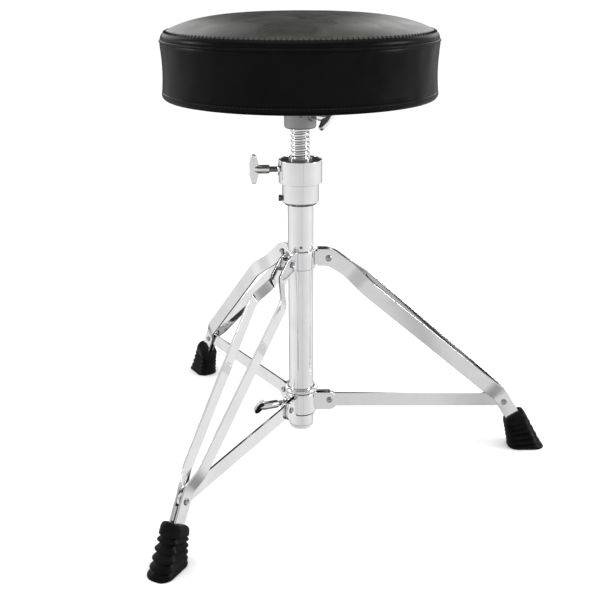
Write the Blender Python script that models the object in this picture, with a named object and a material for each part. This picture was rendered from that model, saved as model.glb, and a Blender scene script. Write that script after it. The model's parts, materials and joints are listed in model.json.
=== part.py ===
"""Drum throne: a round padded seat on a threaded spindle, over a folding stand with three double-braced legs.

Metres, +Z up, floor at z = 0. The right leg points along +X and the other two stand 120 degrees to each side.
The origin is on the floor, at the centre of the rectangle that the feet cover.
"""

import math

import bmesh
import bpy
from mathutils import Matrix, Vector

GAP = 0.0003  # clearance between pieces that touch
COARSE = 10  # sides of a rivet or a small bolt
MEDIUM = 28  # sides of a tube or a collar
SEAT_SIDES = 32

# Legs
LEG_AZIMUTHS = {"right": 0.0, "front": -120.0, "back": 120.0}
LEG_PIVOT = Vector((0.0327, 0.0, 0.2560))
FOOT_PIVOT = Vector((0.2555, 0.0, 0.0635))
LEG_WIDTH = 0.0182
LEG_HUB_WIDTH = 0.0206
LEG_THICKNESS = 0.0024
LEG_PATH = ((0.0199, 0.2572), (0.0345, 0.2572), (0.0549, 0.2427), (0.2485, 0.0746), (0.2735, 0.0352))
LEG_BEND_RADIUS = 0.022
LEG_INNER_AT_HUB = 0.0042
LEG_INNER_AT_SPLAY = 0.0184
LEG_INNER_AT_CLOSING = 0.0085
LEG_INNER_AT_FOOT = 0.0020
LEG_BENDS = (0.0570, 0.0765, 0.2350, 0.2490)  # distances from the post where a bar bends sideways
BEND_SOFTENING = 0.0022
SIDES = {"left": 1, "right": -1}

# Rivets
RIVET_RADIUS = 0.0025
RIVET_HOLE = 0.0028
RIVET_HEAD_RADIUS = 0.0036
RIVET_HEAD_HEIGHT = 0.0012

# Rubber feet
SOLE_CENTRE = 0.2880
SOLE_HALF_LENGTH = 0.0232
SOLE_HALF_WIDTH = 0.0154
SOLE_CORNER = 0.0125
CAP_CENTRE = Vector((0.2694, 0.0, 0.0447))
CAP_HALF_LENGTH = 0.0138
CAP_HALF_WIDTH = 0.0122
CAP_CORNER = 0.0092
CAP_TILT = math.radians(-32)
FOOT_STEPS = 2
FOOT_RIBS = 5
RIB_PITCH = 0.0073
RIB_FLARE = 0.0038
POCKET_DEPTH = 0.022

# Outer tube and hub
TUBE_RADIUS = 0.0150
TUBE_BORE = 0.0135
TUBE_BOTTOM = 0.0392
TUBE_TOP = 0.3405
PLUG_BOTTOM = 0.0330
PIN_HOLE_HEIGHT = 0.2717
PIN_HOLE_RADIUS = 0.0017
HUB_BOTTOM = 0.2434
HUB_TOP = 0.2662
HUB_RADIUS = 0.0175
HUB_LUG_HALF = LEG_INNER_AT_HUB - GAP
HUB_LUG_RADIUS = 0.0085

# Sliding collar and braces
COLLAR_PIVOT = Vector((0.0350, 0.0, 0.0702))
COLLAR_BOTTOM = 0.0540
COLLAR_TOP = 0.0893
COLLAR_RADIUS = 0.0185
COLLAR_BEAD_RADIUS = 0.0205
COLLAR_BEAD_BOTTOM = 0.0822
EAR_CORNER = 0.0088
EAR_END = 0.0440
EAR_LOW = 0.0575
EAR_HIGH = 0.0802
EAR_OUTER = 0.0052
EAR_INNER = 0.0019
BRACE_HALF_THICKNESS = 0.0015
BRACE_HALF_WIDTH = 0.0087
BRACE_INNER_HEIGHT = 0.0692
BRACE_OUTER_HEIGHT = 0.0655

# Tube collar, nut housing and nut
TUBE_COLLAR_BOTTOM = 0.3208
TUBE_COLLAR_TOP = 0.3461
TUBE_COLLAR_RADIUS = 0.0213
HOUSING_TOP = 0.3732
HOUSING_RADIUS = 0.0251
HOUSING_BORE = 0.0165
NUT_RADIUS = HOUSING_BORE - GAP
NUT_TOP = 0.3752

SET_SCREW_HEIGHT = 0.3280
SET_SCREW_RADIUS = 0.0022

# Threaded spindle
THREAD_CREST = 0.0110
THREAD_ROOT = 0.0096
THREAD_PITCH = 0.0056
THREAD_TURNS = 31
THREAD_SIDES = 10
THREAD_BOTTOM = 0.2325
SPINDLE_TOP = 0.4380
SPINDLE_END_RADIUS = 0.0108
JOURNAL_RADIUS = 0.0060
BUSH_BOTTOM = 0.2213
BUSH_TOP = 0.2307

# Seat receiver and its bolts
RECEIVER_BOTTOM = 0.4091
RECEIVER_RADIUS = 0.0190
RECEIVER_BORE = 0.0113
FLANGE_BOTTOM = 0.4426
FLANGE_HALF = 0.0480
FLANGE_CORNER = 0.0120
BOLT_OFFSET = 0.0385
BOLT_RADIUS = 0.0030

BOLT_PLACES = [(sx * BOLT_OFFSET, sy * BOLT_OFFSET) for sx, sy in ((1, 1), (-1, 1), (-1, -1), (1, -1))]

# Seat
SEAT_RADIUS = 0.1528
SEAT_WAIST = 0.1515
SEAT_BOTTOM = 0.4440
SEAT_TOP = 0.5325
SKIN = 0.0013
HEM_RADIUS = 0.1280
BOARD_RADIUS = 0.1478
BOARD_BOTTOM = SEAT_BOTTOM + 0.0016
BOARD_TOP = BOARD_BOTTOM + 0.0120
SEAM_HEIGHT = 0.5055
CROWN_EDGE_RADIUS = 0.1455
CROWN_EDGE_HEIGHT = 0.5145
CROWN_POWER = 2.3
SHOULDER_RADIUS = 0.0065
PIPING_RADIUS = 0.0018

# Wing bolts
SHANK_RADIUS = 0.0034
SHANK_HOLE = 0.0038
WING_HALF_SPAN = 0.0172
WING_HALF_THICKNESS = 0.0024
WING_MIDDLE = 0.0053
WING_END = 0.0034

# Each wing bolt's azimuth, height, tip, boss start, wing centre and the wing's turn about the bolt's axis
HEIGHT_BOLT = {"azimuth": 180.0, "height": 0.3618, "tip": 0.0114, "shank": 0.0354, "wing": 0.0535, "tilt": 0.0}
SEAT_BOLT = {"azimuth": -46.0, "height": 0.4245, "tip": 0.0114, "shank": 0.0290, "wing": 0.0430, "tilt": -48.0}
COLLAR_BOLT = {"azimuth": 200.0, "height": 0.0690, "tip": 0.0154, "shank": 0.0310, "wing": 0.0555, "tilt": -42.0}


def support(half_length, half_width, corner, angle):
    """How far a rectangle with round corners reaches from its centre, in a direction at this angle to its length."""
    along = (half_length - corner) * abs(math.cos(angle))
    return along + (half_width - corner) * abs(math.sin(angle)) + corner


SOLE_REACH = SOLE_CENTRE + SOLE_HALF_LENGTH
SIDE_ANGLE = math.radians(60)
SIDE_REACH = SOLE_CENTRE * math.cos(SIDE_ANGLE) + support(
    SOLE_HALF_LENGTH, SOLE_HALF_WIDTH, SOLE_CORNER, SIDE_ANGLE
)
POST_X = (SIDE_REACH - SOLE_REACH) / 2


# Meshes


def mesh_from(bm):
    """A mesh with its faces pointing out, shaded smooth except across sharp edges."""
    bmesh.ops.recalc_face_normals(bm, faces=bm.faces[:])
    mesh = bpy.data.meshes.new("shape")
    bm.to_mesh(mesh)
    bm.free()
    mesh.shade_smooth()
    mesh.set_sharp_from_angle(angle=math.radians(32))
    return mesh


def loft(rings, closed=False):
    """A solid through rings of points. Closed joins the last ring to the first; otherwise both ends are capped."""
    bm = bmesh.new()
    rows = [[bm.verts.new(point) for point in ring] for ring in rings]
    pairs = list(zip(rows, rows[1:]))
    if closed:
        pairs.append((rows[-1], rows[0]))
    for low, high in pairs:
        for i in range(len(low)):
            j = (i + 1) % len(low)
            bm.faces.new((low[i], low[j], high[j], high[i]))
    if not closed:
        bm.faces.new(rows[0][::-1])
        bm.faces.new(rows[-1])
    return mesh_from(bm)


def circle(radius, height, sides, turn=0.0):
    """Points round the Z axis."""
    angles = (math.tau * (i + turn) / sides for i in range(sides))
    return [(radius * math.cos(a), radius * math.sin(a), height) for a in angles]


def turned(profile, sides, hollow=False):
    """A solid turned about Z from (radius, height) points. A hollow one's profile is a closed loop off the axis."""
    return loft([circle(radius, height, sides) for radius, height in profile], closed=hollow)


def prism(outline, low, high):
    """A plate: an outline of (x, z) points between two values of y."""
    return loft([[(x, y, z) for x, z in outline] for y in (low, high)])


def arc(centre, radius, start, end, steps):
    """Points on an arc in a plane, its angles in degrees."""
    angles = (math.radians(start + (end - start) * i / steps) for i in range(steps + 1))
    return [(centre[0] + radius * math.cos(a), centre[1] + radius * math.sin(a)) for a in angles]


def round_rectangle(half_length, half_width, corner, steps=4):
    """Outline of a rectangle with round corners, centred on the origin."""
    points = []
    for start, sx, sy in ((0, 1, 1), (90, -1, 1), (180, -1, -1), (270, 1, -1)):
        centre = (sx * (half_length - corner), sy * (half_width - corner))
        points += arc(centre, corner, start, start + 90, steps)
    return points


def placed(mesh, matrix):
    """The same mesh, moved by a matrix."""
    mesh.transform(matrix)
    return mesh


def lying(mesh, axis="Y", offset=(0.0, 0.0, 0.0)):
    """A mesh that was turned about Z, laid along X or Y and then shifted."""
    turn = Matrix.Rotation(math.radians(90), 4, "Y" if axis == "X" else "X")
    if axis == "Y":
        turn = turn.inverted()
    return placed(mesh, Matrix.Translation(offset) @ turn)


def bevelled(mesh, width, segments=1, least_angle=40.0):
    """The mesh with its sharp edges bevelled."""
    bm = bmesh.new()
    bm.from_mesh(mesh)
    sharp = [e for e in bm.edges if e.is_manifold and e.calc_face_angle() > math.radians(least_angle)]
    bmesh.ops.bevel(
        bm, geom=sharp, offset=width, segments=segments, affect="EDGES", profile=0.5, clamp_overlap=True
    )
    bpy.data.meshes.remove(mesh)
    return mesh_from(bm)


def combined(mesh, operation, tools):
    """The mesh joined with (UNION) or cut by (DIFFERENCE) each tool mesh."""
    base = bpy.data.objects.new("base", mesh)
    helpers = [base] + [bpy.data.objects.new("tool", tool) for tool in tools]
    for helper in helpers:
        bpy.context.scene.collection.objects.link(helper)
    for helper in helpers[1:]:
        step = base.modifiers.new(operation, "BOOLEAN")
        step.operation = operation
        step.object = helper
    graph = bpy.context.evaluated_depsgraph_get()
    bm = bmesh.new()
    bm.from_object(base, graph)
    for helper in helpers:
        bpy.data.objects.remove(helper)
    bmesh.ops.dissolve_limit(bm, angle_limit=math.radians(0.1), verts=bm.verts[:], edges=bm.edges[:])
    return mesh_from(bm)


def drill(radius, low, high, axis="Y", at=(0.0, 0.0, 0.0), sides=COARSE):
    """A round cutter along an axis through a point."""
    rod = turned([(radius, low), (radius, high)], sides)
    return rod if axis == "Z" else lying(rod, axis, at)


# Materials and objects


def finish(name, colour, roughness, metallic=0.0):
    """A plain material with one colour."""
    material = bpy.data.materials.new(name)
    material.use_nodes = True
    shader = material.node_tree.nodes["Principled BSDF"]
    shader.inputs["Base Color"].default_value = (*colour, 1.0)
    shader.inputs["Roughness"].default_value = roughness
    shader.inputs["Metallic"].default_value = metallic
    return material


def pivot(name, location, azimuth=0.0):
    """An empty on a joint's axis. Its X points away from the post at this azimuth in degrees."""
    empty = bpy.data.objects.new(name, None)
    bpy.context.scene.collection.objects.link(empty)
    turn = Matrix.Rotation(math.radians(azimuth), 4, "Z")
    empty.matrix_world = Matrix.Translation((POST_X, 0.0, 0.0)) @ turn @ Matrix.Translation(location)
    return empty


def part(name, mesh, look, parent, offset=(0.0, 0.0, 0.0), turn=0.0):
    """One named piece under a pivot. Its own material copies a look."""
    own = look.copy()
    own.name = name
    mesh = mesh.copy()
    mesh.materials.clear()
    mesh.materials.append(own)
    mesh.name = name
    piece = bpy.data.objects.new(name, mesh)
    bpy.context.scene.collection.objects.link(piece)
    piece.parent = parent
    piece.location = offset
    piece.rotation_euler = (0.0, 0.0, math.radians(turn))
    return piece


# Legs


def rounded_path(points, radius, steps=4):
    """A path through points, with an arc of this radius in place of each inner corner."""
    path = [Vector(points[0])]
    for before, corner, after in zip(points, points[1:], points[2:]):
        corner = Vector(corner)
        back = (Vector(before) - corner).normalized()
        ahead = (Vector(after) - corner).normalized()
        half = back.angle(ahead) / 2
        cut = radius / math.tan(half)
        centre = corner + (back + ahead).normalized() * radius / math.sin(half)
        start = corner + back * cut - centre
        for i in range(steps + 1):
            share = i / steps
            direction = start.lerp(corner + ahead * cut - centre, share).normalized()
            path.append(centre + direction * radius)
    path.append(Vector(points[-1]))
    return path


def splay(radius):
    """How far the inner face of a leg bar stands from the leg's middle plane at this distance from the post."""
    places = (0.0, *LEG_BENDS, 1.0)
    values = (LEG_INNER_AT_HUB, LEG_INNER_AT_HUB, LEG_INNER_AT_SPLAY, LEG_INNER_AT_CLOSING)
    values += (LEG_INNER_AT_FOOT, LEG_INNER_AT_FOOT)
    for start, end, low, high in zip(places, places[1:], values, values[1:]):
        if radius <= end:
            return low + (high - low) * (radius - start) / (end - start)
    return LEG_INNER_AT_FOOT


def leg_stations():
    """Points along a leg bar's centre line, in (radius, height), with two more at each sideways bend."""
    extra = sorted(bend + shift for bend in LEG_BENDS for shift in (-BEND_SOFTENING, BEND_SOFTENING))
    path = rounded_path(LEG_PATH, LEG_BEND_RADIUS)
    stations = [path[0]]
    for here, there in zip(path, path[1:]):
        for radius in extra:
            if here.x + 0.0004 < radius < there.x - 0.0004:
                stations.append(here.lerp(there, (radius - here.x) / (there.x - here.x)))
        stations.append(there)
    return stations


def bar_width(radius):
    """A leg bar is a little wider round its hub rivet."""
    share = min(max((radius - 0.034) / 0.016, 0.0), 1.0)
    return LEG_HUB_WIDTH + (LEG_WIDTH - LEG_HUB_WIDTH) * share


def leg_bar(side):
    """One bent flat bar of a leg, about the leg's pivot. Side is 1 or -1."""
    stations = leg_stations()
    rings = []
    for i, point in enumerate(stations):
        ahead = stations[min(i + 1, len(stations) - 1)] - stations[max(i - 1, 0)]
        up = Vector((-ahead.y, ahead.x)).normalized() * bar_width(point.x) / 2
        inner = splay(point.x)
        outer = inner + LEG_THICKNESS
        corners = ((up, inner), (up, outer), (-up, outer), (-up, inner))
        x, z = point.x - LEG_PIVOT.x, point.y - LEG_PIVOT.z
        rings.append([(x + o.x, side * across, z + o.y) for o, across in corners])
    foot = FOOT_PIVOT - LEG_PIVOT
    holes = [drill(RIVET_HOLE, -0.03, 0.03, "Y", at) for at in ((0, 0, 0), tuple(foot))]
    return combined(loft(rings), "DIFFERENCE", holes)


def rivet_head(outer, sign):
    """Profile of a dished rivet head from its rim to its centre. Outer is the height of its seat on the axis."""
    top = outer + sign * RIVET_HEAD_HEIGHT
    return [
        (RIVET_HEAD_RADIUS, outer),
        (RIVET_HEAD_RADIUS * 0.75, top),
        (RIVET_HEAD_RADIUS * 0.35, top - sign * 0.0007),
    ]


def rivet(half_grip):
    """A rivet along Y with a head at each end."""
    seat = half_grip + GAP
    low = rivet_head(-seat, -1)[::-1]
    high = rivet_head(seat, 1)
    shank = [(RIVET_RADIUS, -seat), (RIVET_RADIUS, seat)]
    return lying(turned(low + shank + high, COARSE))


def rivet_half(side):
    """The head and shank in one bar of a leg. The space between the bars stays free for the brace."""
    inner = LEG_INNER_AT_FOOT
    seat = inner + LEG_THICKNESS + GAP
    profile = [(RIVET_RADIUS, inner), (RIVET_RADIUS, seat)] + rivet_head(seat, 1)
    return placed(lying(turned(profile, COARSE)), Matrix.Rotation(0 if side > 0 else math.pi, 4, "X"))


def foot_section(share, flare=0.0):
    """Outline across the foot. Share runs from 0 at the sole to 1 at the top of the cap."""
    mix = share ** 0.8
    centre = Vector((SOLE_CENTRE, 0.0, 0.0)).lerp(CAP_CENTRE, share)
    half_length = SOLE_HALF_LENGTH + (CAP_HALF_LENGTH - SOLE_HALF_LENGTH) * mix
    half_width = SOLE_HALF_WIDTH + (CAP_HALF_WIDTH - SOLE_HALF_WIDTH) * mix
    corner = SOLE_CORNER + (CAP_CORNER - SOLE_CORNER) * mix
    tilt = Matrix.Rotation(CAP_TILT * share ** 1.5, 3, "Y")
    outline = round_rectangle(half_length - flare * 0.5, half_width - flare, corner - flare * 0.5, FOOT_STEPS)
    return [centre + tilt @ Vector((x, y, 0.0)) - LEG_PIVOT for x, y in outline]


def rubber_foot():
    """A leaning rubber foot with stacked ribs under a smooth cap, and a pocket for the two bars."""
    rings = [foot_section(0.0, 0.0012), foot_section(0.02)]
    span = CAP_CENTRE.z
    for rib in range(1, FOOT_RIBS):
        height = rib * RIB_PITCH
        rings.append(foot_section((height - 0.0018) / span, RIB_FLARE))
        rings.append(foot_section((height - 0.0004) / span, RIB_FLARE))
        rings.append(foot_section((height + 0.0010) / span, 0.0))
    rings.append(foot_section((FOOT_RIBS * RIB_PITCH - 0.0012) / span, RIB_FLARE))
    rings += [foot_section(0.76), foot_section(0.92), foot_section(1.0, 0.0028)]
    slope = Vector(LEG_PATH[-1]) - Vector(LEG_PATH[-2])
    along = Vector((slope.x, 0.0, slope.y)).normalized()
    end = Vector((LEG_PATH[-1][0], 0.0, LEG_PATH[-1][1]))
    half_gap = LEG_INNER_AT_FOOT + LEG_THICKNESS + GAP
    half_width = LEG_WIDTH / 2 + GAP
    box = loft(
        [
            [(depth, y, z) for y, z in ((-half_gap, -half_width), (half_gap, -half_width),
                                        (half_gap, half_width), (-half_gap, half_width))]
            for depth in (-POCKET_DEPTH - 0.02, GAP)
        ]
    )
    turn = Vector((1, 0, 0)).rotation_difference(along).to_matrix().to_4x4()
    pocket = placed(box, Matrix.Translation(end - LEG_PIVOT) @ turn)
    return combined(loft(rings), "DIFFERENCE", [pocket])


def build_legs(post):
    """Three legs, each on its own pivot."""
    bars = {side: leg_bar(sign) for side, sign in SIDES.items()}
    halves = {side: rivet_half(sign) for side, sign in SIDES.items()}
    foot = rubber_foot()
    hub_rivet = rivet(LEG_INNER_AT_HUB + LEG_THICKNESS)
    for leg, azimuth in LEG_AZIMUTHS.items():
        hinge = pivot(f"leg_{leg}_pivot", LEG_PIVOT, azimuth)
        for side in SIDES:
            part(f"leg_{leg}_bar_{side}", bars[side], CHROME, hinge)
            part(f"foot_rivet_{leg}_{side}", halves[side], RIVET_STEEL, hinge, FOOT_PIVOT - LEG_PIVOT)
        part(f"rubber_foot_{leg}", foot, BLACK_RUBBER, hinge)
        reach = Matrix.Rotation(math.radians(azimuth), 3, "Z") @ LEG_PIVOT
        part(f"hub_rivet_{leg}", hub_rivet, RIVET_STEEL, post, reach, azimuth)


# Stand


def lug(outer_end, low, high, corner, inner_end, half_thickness):
    """A plate standing out from the post, with its two outer corners rounded."""
    outline = arc((outer_end - corner, low + corner), corner, -90, 0, 4)
    outline += arc((outer_end - corner, high - corner), corner, 0, 90, 4)
    outline += [(inner_end, high), (inner_end, low)]
    return prism(outline, -half_thickness, half_thickness)


def around(mesh):
    """Three copies of a mesh, one towards each leg."""
    copies = []
    for azimuth in LEG_AZIMUTHS.values():
        copies.append(placed(mesh.copy(), Matrix.Rotation(math.radians(azimuth), 4, "Z")))
    return copies


def outer_tube():
    """The post, open at both ends, with a small locating hole above the hub."""
    wall = [
        (TUBE_BORE, TUBE_BOTTOM),
        (TUBE_RADIUS, TUBE_BOTTOM),
        (TUBE_RADIUS, TUBE_TOP),
        (TUBE_BORE, TUBE_TOP),
    ]
    hole = drill(PIN_HOLE_RADIUS, 0.010, 0.020, "Y", (0, 0, PIN_HOLE_HEIGHT))
    hole = placed(hole, Matrix.Rotation(math.pi, 4, "Z"))
    return combined(turned(wall, MEDIUM, hollow=True), "DIFFERENCE", [hole])


def tube_end_plug():
    """A domed plug with a shank inside the tube."""
    edge = arc((TUBE_RADIUS - 0.0050, PLUG_BOTTOM + 0.0050), 0.0050, -90, 0, 3)
    shank = TUBE_BORE - GAP
    top = TUBE_BOTTOM - GAP
    profile = edge + [(TUBE_RADIUS, top), (shank, top), (shank, top + 0.012)]
    return turned(profile, MEDIUM)


def leg_hub():
    """A ring round the tube with a lug between the bars of each leg."""
    bore = TUBE_RADIUS + GAP
    ring = turned([(HUB_RADIUS, HUB_BOTTOM), (HUB_RADIUS, HUB_TOP)], MEDIUM)
    end = LEG_PIVOT.x + HUB_LUG_RADIUS
    low = LEG_PIVOT.z - HUB_LUG_RADIUS
    high = LEG_PIVOT.z + HUB_LUG_RADIUS
    lugs = around(lug(end, low, high, HUB_LUG_RADIUS * 0.96, 0.0155, HUB_LUG_HALF))
    body = combined(ring, "UNION", lugs)
    holes = around(drill(RIVET_HOLE, -0.02, 0.02, "Y", tuple(LEG_PIVOT)))
    cutters = holes + [drill(bore, 0.0, 0.5, "Z", sides=MEDIUM)]
    return combined(body, "DIFFERENCE", cutters)


def bolt_bore(bolt, radius, depth):
    """A cutter for a wing bolt's shank, from the middle of the post outwards."""
    rod = drill(radius, 0.0, depth, "X", (0, 0, bolt["height"]))
    return placed(rod, Matrix.Rotation(math.radians(bolt["azimuth"]), 4, "Z"))


def sliding_collar():
    """A collar with a bead at its top and a pair of ears for each brace."""
    profile = [
        (COLLAR_RADIUS - 0.0006, COLLAR_BOTTOM),
        (COLLAR_RADIUS, COLLAR_BOTTOM + 0.0006),
        (COLLAR_RADIUS, COLLAR_BEAD_BOTTOM - 0.0006),
    ]
    middle = (COLLAR_BEAD_BOTTOM + COLLAR_TOP) / 2
    half = (COLLAR_TOP - COLLAR_BEAD_BOTTOM) / 2
    profile += arc((COLLAR_BEAD_RADIUS - half, middle), half, -90, 90, 4)
    barrel = turned(profile, MEDIUM)
    lugs = around(lug(EAR_END, EAR_LOW, EAR_HIGH, EAR_CORNER, 0.0160, EAR_OUTER))
    boss = placed(
        drill(0.0062, 0.0160, 0.0225, "X", (0, 0, COLLAR_BOLT["height"])),
        Matrix.Rotation(math.radians(COLLAR_BOLT["azimuth"]), 4, "Z"),
    )
    body = combined(barrel, "UNION", lugs + [boss])
    high = EAR_HIGH + 0.003
    low = EAR_LOW - 0.003
    slot = [(0.0210, low), (0.0500, low), (0.0500, high), (0.0210, high)]
    cutters = around(prism(slot, -EAR_INNER, EAR_INNER))
    cutters += around(drill(RIVET_HOLE, -0.02, 0.02, "Y", tuple(COLLAR_PIVOT)))
    cutters.append(drill(TUBE_RADIUS + 0.0004, 0.0, 0.3, "Z", sides=MEDIUM))
    cutters.append(bolt_bore(COLLAR_BOLT, SHANK_HOLE, 0.030))
    return combined(body, "DIFFERENCE", cutters)


def brace():
    """A flat bar with round ends, about the collar's pivot."""
    near = (COLLAR_PIVOT.x, BRACE_INNER_HEIGHT)
    far = (FOOT_PIVOT.x, BRACE_OUTER_HEIGHT)
    outline = arc(far, BRACE_HALF_WIDTH, -90, 90, 6) + arc(near, BRACE_HALF_WIDTH, 90, 270, 6)
    plate = prism(outline, -BRACE_HALF_THICKNESS, BRACE_HALF_THICKNESS)
    holes = [drill(RIVET_HOLE, -0.01, 0.01, "Y", tuple(at)) for at in (COLLAR_PIVOT, FOOT_PIVOT)]
    return placed(combined(plate, "DIFFERENCE", holes), Matrix.Translation(-COLLAR_PIVOT))


def tube_collar():
    """The collar that holds the nut housing on the tube, with a hole for its set screw."""
    bore = TUBE_RADIUS + GAP
    wall = [
        (bore, TUBE_COLLAR_BOTTOM),
        (0.0178, TUBE_COLLAR_BOTTOM),
        (TUBE_COLLAR_RADIUS, TUBE_COLLAR_BOTTOM + 0.0035),
        (TUBE_COLLAR_RADIUS, TUBE_COLLAR_TOP),
        (bore, TUBE_COLLAR_TOP),
    ]
    hole = placed(
        drill(SET_SCREW_RADIUS + GAP, 0.0, 0.030, "X", (0, 0, SET_SCREW_HEIGHT)),
        Matrix.Rotation(math.pi, 4, "Z"),
    )
    return combined(turned(wall, MEDIUM, hollow=True), "DIFFERENCE", [hole])


def collar_set_screw():
    """A screw along -X whose round head stands out of the collar."""
    head = TUBE_COLLAR_RADIUS + GAP
    profile = [
        (SET_SCREW_RADIUS, TUBE_RADIUS + 2 * GAP),
        (SET_SCREW_RADIUS, head),
        (0.0037, head),
        (0.0037, head + 0.0034),
        (0.0033, head + 0.0040),
        (0.0016, head + 0.0040),
        (0.0016, head + 0.0022),
    ]
    return placed(lying(turned(profile, COARSE), "X"), Matrix.Rotation(math.pi, 4, "Z"))


def nut_housing():
    """The upper collar: a cup with a floor, a thin lip round its top and a pad for the height bolt."""
    floor = TUBE_COLLAR_TOP + GAP
    outer = [
        (HOUSING_RADIUS - 0.0008, floor),
        (HOUSING_RADIUS, floor + 0.0008),
        (HOUSING_RADIUS, HOUSING_TOP - 0.0008),
        (HOUSING_RADIUS - 0.0008, HOUSING_TOP),
    ]
    body = turned(outer, MEDIUM)
    pad = placed(
        drill(0.0070, 0.0200, HOUSING_RADIUS + 0.0010, "X", (0, 0, HEIGHT_BOLT["height"])),
        Matrix.Rotation(math.pi, 4, "Z"),
    )
    recess = turned([(HOUSING_RADIUS - 0.0016, HOUSING_TOP - 0.0008), (HOUSING_RADIUS - 0.0016, 0.39)], MEDIUM)
    bore = turned([(HOUSING_BORE, floor + 0.0028), (HOUSING_BORE, 0.39)], MEDIUM)
    way = drill(THREAD_CREST + 2 * GAP, 0.3, 0.4, "Z", sides=MEDIUM)
    cutters = [recess, bore, way, bolt_bore(HEIGHT_BOLT, SHANK_HOLE, 0.040)]
    return combined(combined(body, "UNION", [pad]), "DIFFERENCE", cutters)


def spindle_nut():
    """The nut that the spindle screws through, with a raised collar above the housing."""
    bore = THREAD_CREST + GAP
    bottom = TUBE_COLLAR_TOP + GAP + 0.0028 + GAP
    shoulder = HOUSING_TOP - 0.0008
    wall = [
        (bore, bottom),
        (NUT_RADIUS, bottom),
        (NUT_RADIUS, shoulder),
        (0.0134, shoulder),
        (0.0134, NUT_TOP - 0.0006),
        (0.0128, NUT_TOP),
        (bore, NUT_TOP),
    ]
    return combined(turned(wall, MEDIUM, hollow=True), "DIFFERENCE", [bolt_bore(HEIGHT_BOLT, SHANK_HOLE, 0.03)])


def wing_bolt(bolt):
    """A wing bolt along X: shank, round boss and a flat two-armed wing standing along Z."""
    shank = turned([(SHANK_RADIUS - 0.0006, bolt["tip"]), (SHANK_RADIUS, bolt["tip"] + 0.0008),
                    (SHANK_RADIUS, bolt["shank"] + 0.002)], COARSE)
    boss = turned([(0.0044, bolt["shank"]), (0.0050, bolt["shank"] + 0.0006),
                   (0.0050, bolt["wing"] - 0.003), (0.0036, bolt["wing"])], COARSE)
    x = bolt["wing"]
    outline = [
        (x - WING_END, WING_HALF_SPAN),
        (x - WING_MIDDLE, 0.0060),
        (x - WING_MIDDLE, -0.0060),
        (x - WING_END, -WING_HALF_SPAN),
        (x + WING_END, -WING_HALF_SPAN),
        (x + WING_MIDDLE, -0.0060),
        (x + WING_MIDDLE, 0.0060),
        (x + WING_END, WING_HALF_SPAN),
    ]
    wing = bevelled(prism(outline, -WING_HALF_THICKNESS, WING_HALF_THICKNESS), 0.0009)
    wing = placed(wing, Matrix.Rotation(math.radians(bolt["tilt"]), 4, "X"))
    return combined(lying(shank, "X"), "UNION", [lying(boss, "X"), wing])


def build_stand(post):
    """The tube and all that is fixed to it, the sliding collar and its braces, and the wing bolts."""
    part("outer_tube", outer_tube(), CHROME, post)
    part("tube_end_plug", tube_end_plug(), GREY_PLASTIC, post)
    part("leg_hub", leg_hub(), CHROME, post)
    part("tube_collar", tube_collar(), CHROME, post)
    part("collar_set_screw", collar_set_screw(), DARK_STEEL, post, (0, 0, SET_SCREW_HEIGHT))
    part("nut_housing", nut_housing(), CHROME, post)
    part("spindle_nut", spindle_nut(), CHROME, post)
    part("sliding_collar", sliding_collar(), CHROME, post)
    collar_rivet = rivet(EAR_OUTER)
    bar = brace()
    for leg, azimuth in LEG_AZIMUTHS.items():
        hinge = pivot(f"brace_{leg}_pivot", COLLAR_PIVOT, azimuth)
        part(f"brace_{leg}", bar, CHROME, hinge)
        part(f"collar_rivet_{leg}", collar_rivet, RIVET_STEEL, hinge)
    for name, bolt in (("height", HEIGHT_BOLT), ("collar", COLLAR_BOLT), ("seat", SEAT_BOLT)):
        hinge = pivot(f"{name}_bolt_axis", (0, 0, bolt["height"]), bolt["azimuth"])
        part(f"{name}_wing_bolt", wing_bolt(bolt), CHROME, hinge)


# Spindle


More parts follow.
